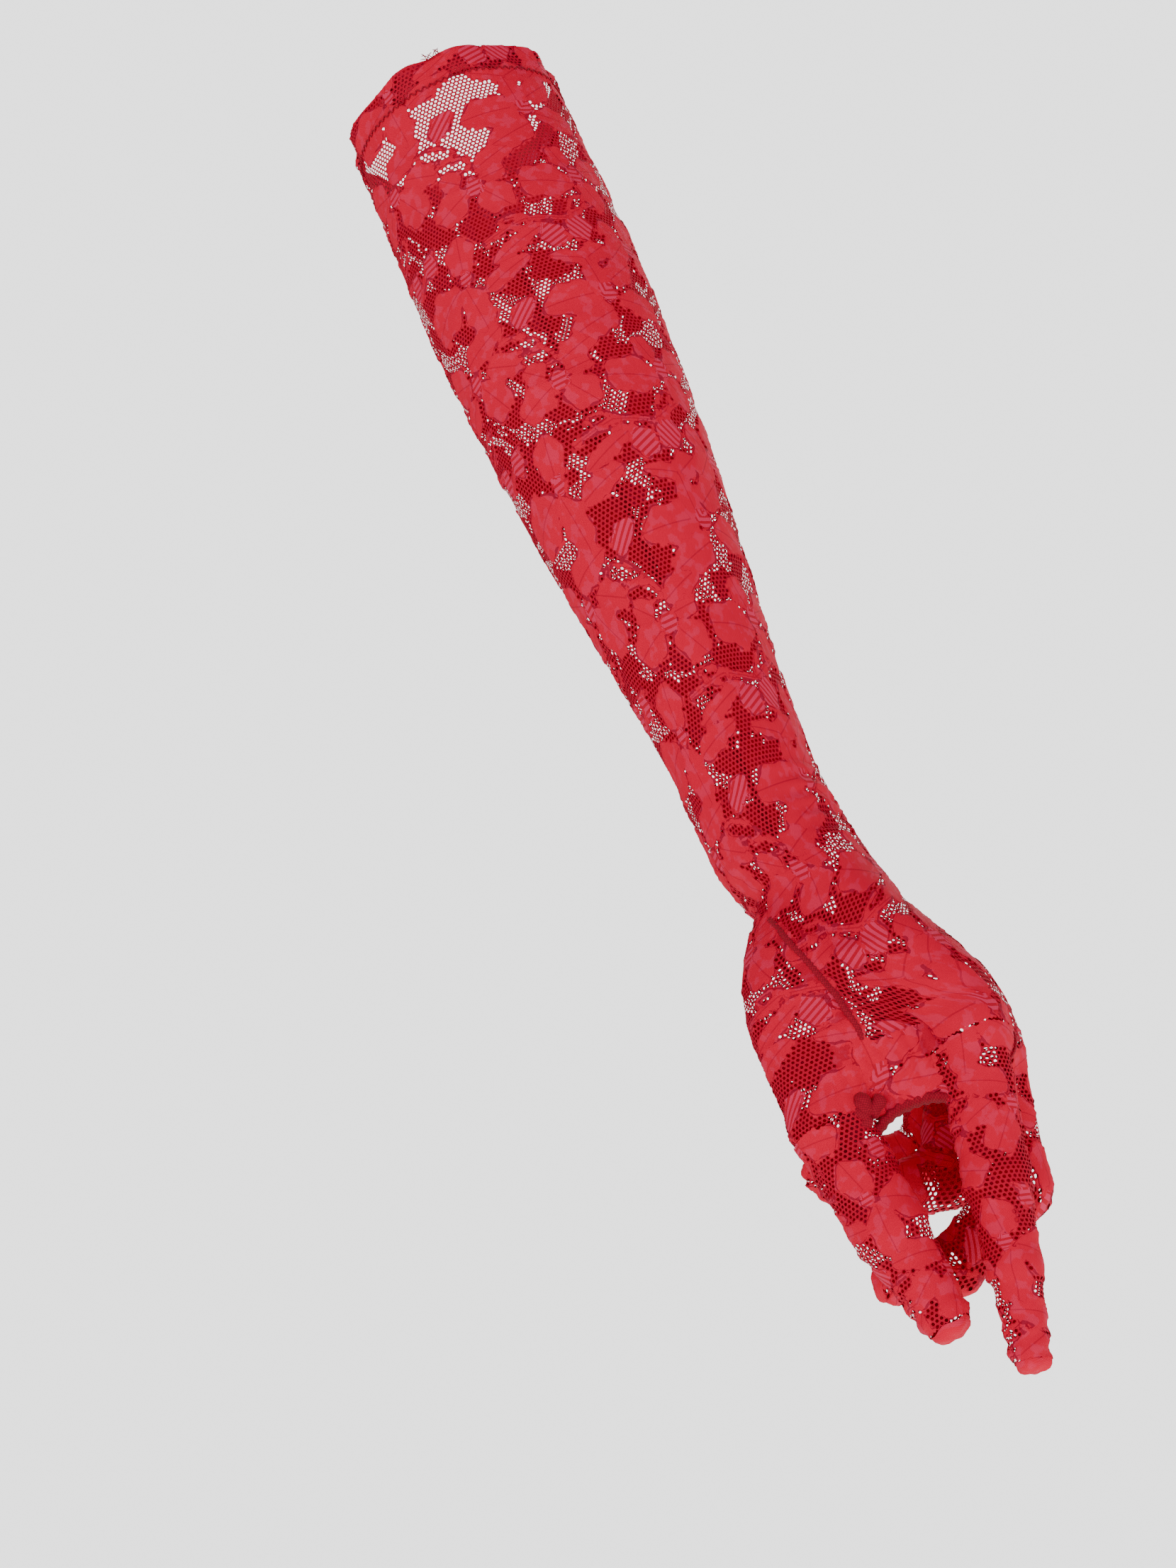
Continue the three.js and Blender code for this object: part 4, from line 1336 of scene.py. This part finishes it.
    def build_gathers(self, bend: tuple) -> None:
        """Bunch the spare cloth into small folds on the thumb's inner side, under the web."""
        knot = np.array(self.gather_knot)
        for k, (dx, dy, dz) in enumerate(self.gather_folds):
            t = np.linspace(0.0, 1.0, 25)[:, None]
            out = np.array([dx, dy, dz], float)
            sway = np.sin(t * math.pi) * np.array([0.9, -1.2, 0.4]) * (1.0 + 0.3 * (-1) ** k)
            line = knot + out * t + sway
            up = np.tile([0.5, -0.85, 0.0], (25, 1))
            fold = Ridge(half_width=2.1, half_rise=1.5, stitch=5.2, knot=0.1, sides=14)
            made = fold.build(f"web_gather_{k + 1}", line, up)
            made.data.materials.append(self.finishes.thread)
            Piece(made, ("forearm", "hand"), bend[0], bend[1]).attach()

    def build_tufts(self, chart: Chart, bend: tuple) -> None:
        """Leave a few cut thread ends standing at the cuff's edge."""
        chance = random.Random(self.tuft_seed)
        for k in range(self.tufts):
            across = self.tuft_at + chance.uniform(-5.0, 5.0)
            root, up = chart.place(np.array([across]), np.array([1.2]))
            t = np.linspace(0.0, 1.0, 15)[:, None]
            lean = np.array([chance.uniform(-3.0, 3.0), chance.uniform(-0.6, 0.6), chance.uniform(1.6, 3.6)])
            curl = up[0] * chance.uniform(0.4, 1.6)
            line = root[0] + up[0] * 0.3 + lean * t + curl * np.sin(t * math.pi * 0.9)
            thread = Ridge(half_width=0.16, half_rise=0.16, stitch=0.9, knot=0.12, sides=6, step=0.25)
            made = thread.build(f"cuff_thread_end_{k + 1}", line, np.tile(up[0], (15, 1)))
            made.data.materials.append(self.finishes.thread)
            Piece(made, ("upper_sleeve", "forearm"), bend[0], bend[1]).attach()

    def build_hem(self, chart: Chart, bend: tuple) -> None:
        """Turn the top edge to the inside, lay the elastic in it and stitch it down."""
        inside = LaceCloth(
            chart,
            lift=lambda points, along: -0.15 - self.hem_gap * smooth_step(0.0, 1.2, along),
            dense=lambda points, across, along: np.ones(len(along), bool),
            pattern_across=40.0,
            pattern_along=33.0,
        )
        self.add_lace(inside, "turned_hem_lace", (0.0, self.hem), ("upper_sleeve", "forearm"), bend, ("cuff_hem",))
        along = np.full(481, 6.0)
        half = chart.width_at(along) / 2
        line, up = chart.place(np.linspace(-1, 1, 481) * half, along)
        elastic = Band(half_height=3.2, half_thick=0.28, inset=0.62).build("hem_elastic", line, up)
        elastic.data.materials.append(self.finishes.elastic)
        Piece(elastic, ("upper_sleeve", "forearm"), bend[0], bend[1], ("cuff_elastic",)).attach()
        self.build_tufts(chart, bend)
        turns = 93
        count = turns * 8
        share = np.linspace(-1, 1, count)
        zig = self.hem - 1.0 + 0.9 * np.abs(np.mod(np.linspace(0, turns, count), 1.0) * 2 - 1) * 2
        line, up = chart.place(share * float(chart.width_at(np.array([10.0]))[0]) / 2, zig)
        stitch = Ridge(half_width=0.26, half_rise=0.22, stitch=0.8, knot=0.1, sides=5, step=0.5)
        sewn = stitch.build("hem_stitches", line + up * 0.3, up)
        sewn.data.materials.append(self.finishes.thread)
        Piece(sewn, ("upper_sleeve", "forearm"), bend[0], bend[1], ("hem_stitching",)).attach()


@dataclass
class ThumbBase(Glove):
    """The part of the set-in thumb that belongs to the hand, with the web to the index finger."""

    spacing: float = 1.5
    top: float = -324.0
    bottom: float = -406.0
    round_width: float = 150.0

    def centre(self, height: np.ndarray) -> np.ndarray:
        """Middle of the rings, down the root of the thumb."""
        rows = np.array(
            [
                (-406, -14, -31), (-396, -12, -31), (-383, -10, -30), (-367, -8, -27.5),
                (-347, -5, -22), (-332, -2, -15), (-324, 0, -11),
            ],
            float,
        )
        x = np.interp(height, rows[:, 0], rows[:, 1])
        y = np.interp(height, rows[:, 0], rows[:, 2])
        return np.stack([x, y, height], axis=-1)

    def slack(self, points: np.ndarray, normals: np.ndarray, reach: np.ndarray) -> np.ndarray:
        """Gathers on the inner side, below the set-in seam, and a little looseness elsewhere."""
        z, y = points[..., 2], points[..., 1]
        lift = 0.3 * ripple(y * 1.5, z, 18.0, 2.2)
        gather = smooth_step(-372.0, -392.0, z) * smooth_step(-22.0, -2.0, points[..., 0])
        lift = lift + gather * 0.7 * np.sin(points[..., 0] * 1.5 + 0.5 * np.sin(z * 0.5))
        return lift * smooth_step(-403.0, -396.0, z)

    @staticmethod
    def strip(points: np.ndarray, u: np.ndarray, v: np.ndarray) -> np.ndarray:
        """True in the doubled strip beside the set-in seam, and along the web's edge."""
        x, y, z = points[..., 0], points[..., 1], points[..., 2]
        rows = np.array(FORM.set_in_line, float)
        off = np.interp(z, rows[:, 0], rows[:, 1]) - x
        wide = 3.5 + 7.0 * smooth_step(-350.0, -388.0, z)
        front = (y < -28.0) & (off < wide) & (z > -394.0)
        return front | ((z < -398.0) & (x > -12.0))

    @staticmethod
    def keep(points: np.ndarray) -> np.ndarray:
        """True where the cloth belongs to the root of the thumb or to the web."""
        return FORM.is_set_in(points, 1.3) & ~FORM.is_thumb(points)

    def build(self) -> None:
        """Build the root of the thumb."""
        height = np.arange(self.top, self.bottom - 0.1, -self.spacing)
        count = len(height)
        chart = Chart(
            self.centre(height),
            np.tile([1.0, 0.0, 0.0], (count, 1)),
            np.tile([0.0, 1.0, 0.0], (count, 1)),
            self.top - height,
            FORM.whole,
            96.0,
            np.full(count, 1.0),
            self.slack,
            300,
            fixed_width=self.round_width,
        )
        cloth = LaceCloth(
            chart,
            keep=self.keep,
            lift=lambda points, along: np.full(len(along), -0.12),
            dense=self.strip,
            pattern_across=-14.0,
            pattern_along=38.0,
        )
        rows = (0.0, self.top - self.bottom - 0.5)
        bend = ((0.0, 0.0, -255.0), (0.0, 0.0, -325.0))
        self.add_lace(cloth, "thumb_root_lace", rows, ("hand",), bend, ("thumb_root",))


@dataclass(frozen=True)
class Band:
    """A flat woven band round the sleeve."""

    half_height: float
    half_thick: float
    inset: float
    ribs: int = 7

    def build(self, name: str, line: np.ndarray, normals: np.ndarray) -> bpy.types.Object:
        """Weave the band along a closed line."""
        down = np.array([0.0, 0.0, 1.0])
        rows = []
        share = np.linspace(-1.0, 1.0, 2 * self.ribs + 1)
        bulge = self.half_thick * (0.75 + 0.25 * np.cos(math.pi * share * self.ribs))
        outer = [(s * self.half_height, t) for s, t in zip(share, bulge)]
        inner = [(s * self.half_height, -t) for s, t in zip(share[::-1], bulge[::-1])]
        profile = np.array(outer + inner)
        for height, thick in profile:
            rows.append(line + down * height + normals * (thick - self.inset))
        points = np.stack(rows, axis=1)[:-1]
        count, n = points.shape[:2]
        faces = []
        for k in range(count):
            m = (k + 1) % count
            for j in range(n):
                i = (j + 1) % n
                faces.append((k * n + j, k * n + i, m * n + i, m * n + j))
        made = new_mesh(name, points.reshape(-1, 3), faces)
        steps = np.linalg.norm(np.diff(line, axis=0), axis=1)
        run = np.concatenate([[0.0], np.cumsum(steps)])
        lay_uv(made, np.repeat(run[:-1], n), np.tile(np.arange(n) / n, count), run[-1], self.half_height)
        return made


# How much wider the cloth gets inside the hand, where the form is wider than the finger.
ROOT_FLARE = {"ring": 0.05, "little": 0.3}


@dataclass
class DigitTube(Glove):
    """One finger of the glove, or the thumb, in lengths that meet halfway between the hinges."""

    digit: Digit = None
    bodies: tuple[str, ...] = ()
    top: float = 0.0
    snugness: float = 1.1
    seam_turn: float = 58.0
    step: float = 1.2
    pattern_across: float = 0.0
    pattern_along: float = 0.0

    def slack(self, points: np.ndarray, normals: np.ndarray, reach: np.ndarray) -> np.ndarray:
        """Wrinkles: a loose, squared tip, and creases inside each bend."""
        along = np.broadcast_to(reach[:, None], points.shape[:2])
        end = self.digit.lengths[-1]
        tip = smooth_step(end - 26.0, end - 6.0, along)
        swing = points[..., 1] * 0.7 + points[..., 0] * 0.45
        lift = tip * 0.65 * np.sin(along * 1.05 + 1.6 * np.sin(swing * 0.35) + swing * 0.2)
        lift = lift + 0.22 * ripple(swing * 1.4, along, 13.0, 1.1)
        for at in self.digit.lengths[1:-1]:
            crease = np.exp(-(((along - at) / 8.0) ** 2)) * smooth_step(0.0, 0.8, -normals[..., 0])
            lift = lift + crease * 0.5 * np.sin((along - at) * 0.95)
        lift = lift * (1.0 - 0.7 * np.abs(normals[..., 1]))
        return lift * smooth_step(self.top + 1.0, self.top - 8.0, points[..., 2])

    def build(self) -> None:
        """Build the lengths of lace and their seams."""
        digit = self.digit
        along, points, heading = digit.centre_line(self.step)
        end = digit.lengths[-1]
        keep_rows = along <= end - 3.0
        along, points, heading = along[keep_rows], points[keep_rows], heading[keep_rows]
        outward = np.tile([0.0, 1.0, 0.0], (len(along), 1))
        back = np.cross(heading, outward)
        turn = math.radians(self.seam_turn)
        right = outward * math.cos(turn) + back * math.sin(turn)
        front = back * math.cos(turn) - outward * math.sin(turn)
        if digit.name == "thumb":
            distance = FORM.round_thumb
        else:
            distance = lambda p: FORM.round_finger(digit, p)
        girth = math.pi * (digit.thick[0] + digit.wide[0])
        chart = Chart(
            points, right, front, along, distance, 60.0, np.full(len(along), 1.0), self.slack, 120,
            snug=self.snugness * girth,
            flare=ROOT_FLARE.get(digit.name, 0.0),
        )
        cloth = LaceCloth(
            chart,
            keep=self.keep,
            pattern_across=self.pattern_across,
            pattern_along=self.pattern_along,
            pattern_scale=0.85,
        )
        names = self.part_names()
        cuts = [-digit.lead_in + 0.5]
        cuts += [(a + b) / 2 for a, b in zip(digit.lengths[:-1], digit.lengths[1:])][:-1]
        cuts.append(end - 3.2)
        if digit.name == "thumb":
            cuts = [-digit.lead_in + 0.5, digit.lengths[1] * 0.5, end - 3.2]
        for k, part in enumerate(names):
            start, stop = self.bend(k)
            self.add_lace(
                cloth, f"{digit.name}_lace_{part}", (cuts[k], cuts[k + 1]),
                (self.bodies[k], self.bodies[k + 1]), (start, stop), self.node_names(k)[0],
                self.node_names(k)[1], Ridge(half_width=0.8, half_rise=0.5),
            )
        self.close_tip(chart, names[-1])

    def part_names(self) -> tuple[str, ...]:
        """Names of the lengths, from the hand outwards."""
        return ("root", "tip") if self.digit.name == "thumb" else ("root", "middle", "tip")

    def node_names(self, k: int) -> tuple[tuple[str, ...], tuple[str, ...]]:
        """Frame nodes that a length and its seam stand for."""
        name = self.digit.name
        if name == "thumb":
            part = ("middle", "tip")[k]
            return (f"thumb_{part}",), (f"thumb_seam_{part}",)
        part = ("root", "middle", "tip")[k]
        return (f"{name}_{part}",), (f"{name}_seam_{part}",)

    def bend(self, k: int) -> tuple[tuple, tuple]:
        """Where the bend round a hinge starts and ends."""
        joints, lengths = self.digit.joints, self.digit.lengths
        if k == 0:
            x, y, _ = joints[0]
            drop = 20.0
            return (x, y, self.top), (x, y, self.top - drop)
        before = (lengths[k] - lengths[k - 1]) / 2 * 0.96
        after = (lengths[k + 1] - lengths[k]) / 2 * 0.96
        half = min(before, after, 12.0)
        way = unit(unit(joints[k] - joints[k - 1]) + unit(joints[k + 1] - joints[k]))
        return tuple(joints[k] - way * half), tuple(joints[k] + way * half)

    def keep(self, points: np.ndarray) -> np.ndarray:
        """True where the cloth belongs to this digit."""
        if self.digit.name == "thumb":
            return FORM.is_thumb(points)
        own = self.digit.distance(points)
        others = [f.distance(points) for f in FORM.fingers if f is not self.digit]
        return FORM.is_finger(points) & (own <= np.minimum.reduce(others))

    def close_tip(self, chart: Chart, part: str) -> None:
        """Sew the tip shut with a flat patch of doubled lace."""
        ring = chart.points[-1][:-1]
        middle = ring.mean(axis=0)
        way = unit(chart.origins[-1] - chart.origins[-2])
        n = len(ring)
        levels = [(1.0, -0.3), (0.96, 1.0), (0.84, 2.0), (0.6, 2.7), (0.3, 3.0)]
        wave = 0.35 * np.sin(np.arange(n) / n * math.tau * 5.0)[:, None]
        rows = [middle + (ring - middle) * s + way * (h + wave * s) for s, h in levels]
        points = np.concatenate([*rows, [middle + way * 3.1]])
        faces = []
        for k in range(len(levels) - 1):
            for j in range(n):
                m = (j + 1) % n
                faces.append((k * n + j, k * n + m, (k + 1) * n + m, (k + 1) * n + j))
        top = len(levels) * n
        faces += [((len(levels) - 1) * n + j, (len(levels) - 1) * n + (j + 1) % n, top) for j in range(n)]
        made = new_mesh(f"{self.digit.name}_lace_end", points, faces)
        steps = len(levels)
        outward = np.concatenate([np.repeat(np.arange(float(steps)), n), [float(steps)]])
        turn = np.concatenate([np.tile(np.arange(n) / n, steps), [0.5]])
        lay_uv(made, outward, turn, float(steps), 6.0)
        for key, value in (("solid", 1.0), ("rim", -4.0), ("stripe", 3.0)):
            made.data.attributes.new(key, "FLOAT", "POINT").data.foreach_set(
                "value", np.full(len(points), value, np.float32)
            )
        made.data.materials.append(self.finishes.lace)
        bend = self.bend(len(self.part_names()) - 1)
        Piece(made, (self.bodies[-2], self.bodies[-1]), bend[0], bend[1]).attach()


# ---------------------------------------------------------------- the studio


@dataclass(frozen=True)
class Studio:
    """Pale floor, soft lights and the camera below and in front of the thumb's side."""

    aim: tuple[float, float, float] = (0.0, 0.0, -0.245)
    distance: float = 1.05
    rise_deg: float = -24.0
    roll_deg: float = 24.0
    lens: float = 74.86
    shift: tuple[float, float] = (-0.0784, -0.0560)
    floor_height: float = -0.78
    ambient: float = 0.27
    backdrop: float = 2.3

    def build(self) -> None:
        """Build the floor, the lights and the camera."""
        bpy.ops.object.select_all(action="DESELECT")
        bpy.ops.mesh.primitive_plane_add(size=9.0, location=(0.0, 0.0, self.floor_height))
        floor = bpy.context.object
        floor.name = "floor"
        paint = bpy.data.materials.new("pale_floor")
        paint.use_nodes = True
        shader = paint.node_tree.nodes["Principled BSDF"]
        shader.inputs["Base Color"].default_value = (0.9, 0.9, 0.9, 1.0)
        shader.inputs["Roughness"].default_value = 0.9
        shader.inputs["Emission Color"].default_value = (1.0, 1.0, 1.0, 1.0)
        shader.inputs["Emission Strength"].default_value = 0.9
        floor.data.materials.append(paint)
        world = bpy.data.worlds.new("studio")
        bpy.context.scene.world = world
        world.use_nodes = True
        tree = world.node_tree
        tree.nodes["Background"].inputs["Color"].default_value = (1.0, 1.0, 1.0, 1.0)
        seen = node(tree, "ShaderNodeLightPath").outputs["Is Camera Ray"]
        strength = maths(tree, "MULTIPLY_ADD", seen, self.backdrop - self.ambient, self.ambient)
        tree.links.new(strength, tree.nodes["Background"].inputs["Strength"])
        self.lamp("key", (-0.9, -1.3, 0.5), 1.1, 11.5)
        self.lamp("fill", (1.2, -0.9, -0.2), 1.3, 3.6)
        self.lamp("rim", (0.6, 1.2, 0.5), 1.0, 5.0)
        self.camera()

    def lamp(self, name: str, place: tuple[float, float, float], size: float, watts: float) -> None:
        """Add one soft square lamp that faces the glove."""
        data = bpy.data.lights.new(name, "AREA")
        data.size = size
        data.energy = watts
        made = bpy.data.objects.new(name, data)
        made.location = place
        way = Vector(self.aim) - Vector(place)
        made.rotation_euler = way.to_track_quat("-Z", "Y").to_euler()
        bpy.context.scene.collection.objects.link(made)

    def camera(self) -> None:
        """Add the camera, rolled so that the arm runs from the upper left."""
        rise, roll = math.radians(-self.rise_deg), math.radians(self.roll_deg)
        forward = Vector((0.0, math.cos(rise), math.sin(rise)))
        up = Vector((0.0, -math.sin(rise), math.cos(rise)))
        right = Vector((1.0, 0.0, 0.0))
        turned_right = right * math.cos(roll) - up * math.sin(roll)
        turned_up = right * math.sin(roll) + up * math.cos(roll)
        data = bpy.data.cameras.new("camera")
        data.lens = self.lens
        data.shift_x, data.shift_y = self.shift
        data.clip_start, data.clip_end = 0.05, 20.0
        made = bpy.data.objects.new("camera", data)
        matrix = Matrix((turned_right, turned_up, -forward)).transposed().to_4x4()
        matrix.translation = Vector(self.aim) - forward * self.distance
        made.matrix_world = matrix
        bpy.context.scene.collection.objects.link(made)
        bpy.context.scene.camera = made


def main() -> None:
    """Build the glove and the studio in order."""
    logging.basicConfig(level=logging.INFO, format="%(message)s")
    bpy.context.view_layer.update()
    bpy.ops.object.select_all(action="DESELECT")
    finishes = Finishes()
    Sleeve(finishes).build()
    ThumbBase(finishes).build()
    for k, finger in enumerate(FORM.fingers):
        bodies = ("hand", f"{finger.name}_root", f"{finger.name}_middle", f"{finger.name}_tip")
        low = float(FORM.knuckle_height(np.array([finger.joints[0][1]]))[0]) - 2.2
        DigitTube(
            finishes, digit=finger, bodies=bodies, top=low,
            pattern_across=17.0 * k - 10.0, pattern_along=8.0 + 21.0 * k,
        ).build()
    DigitTube(
        finishes, digit=FORM.thumb, bodies=("hand", "thumb_middle", "thumb_tip"),
        top=FORM.thumb_top - 0.5, pattern_across=-20.0, pattern_along=52.0, seam_turn=0.0,
    ).build()
    Studio().build()


if __name__ == "__main__":
    main()
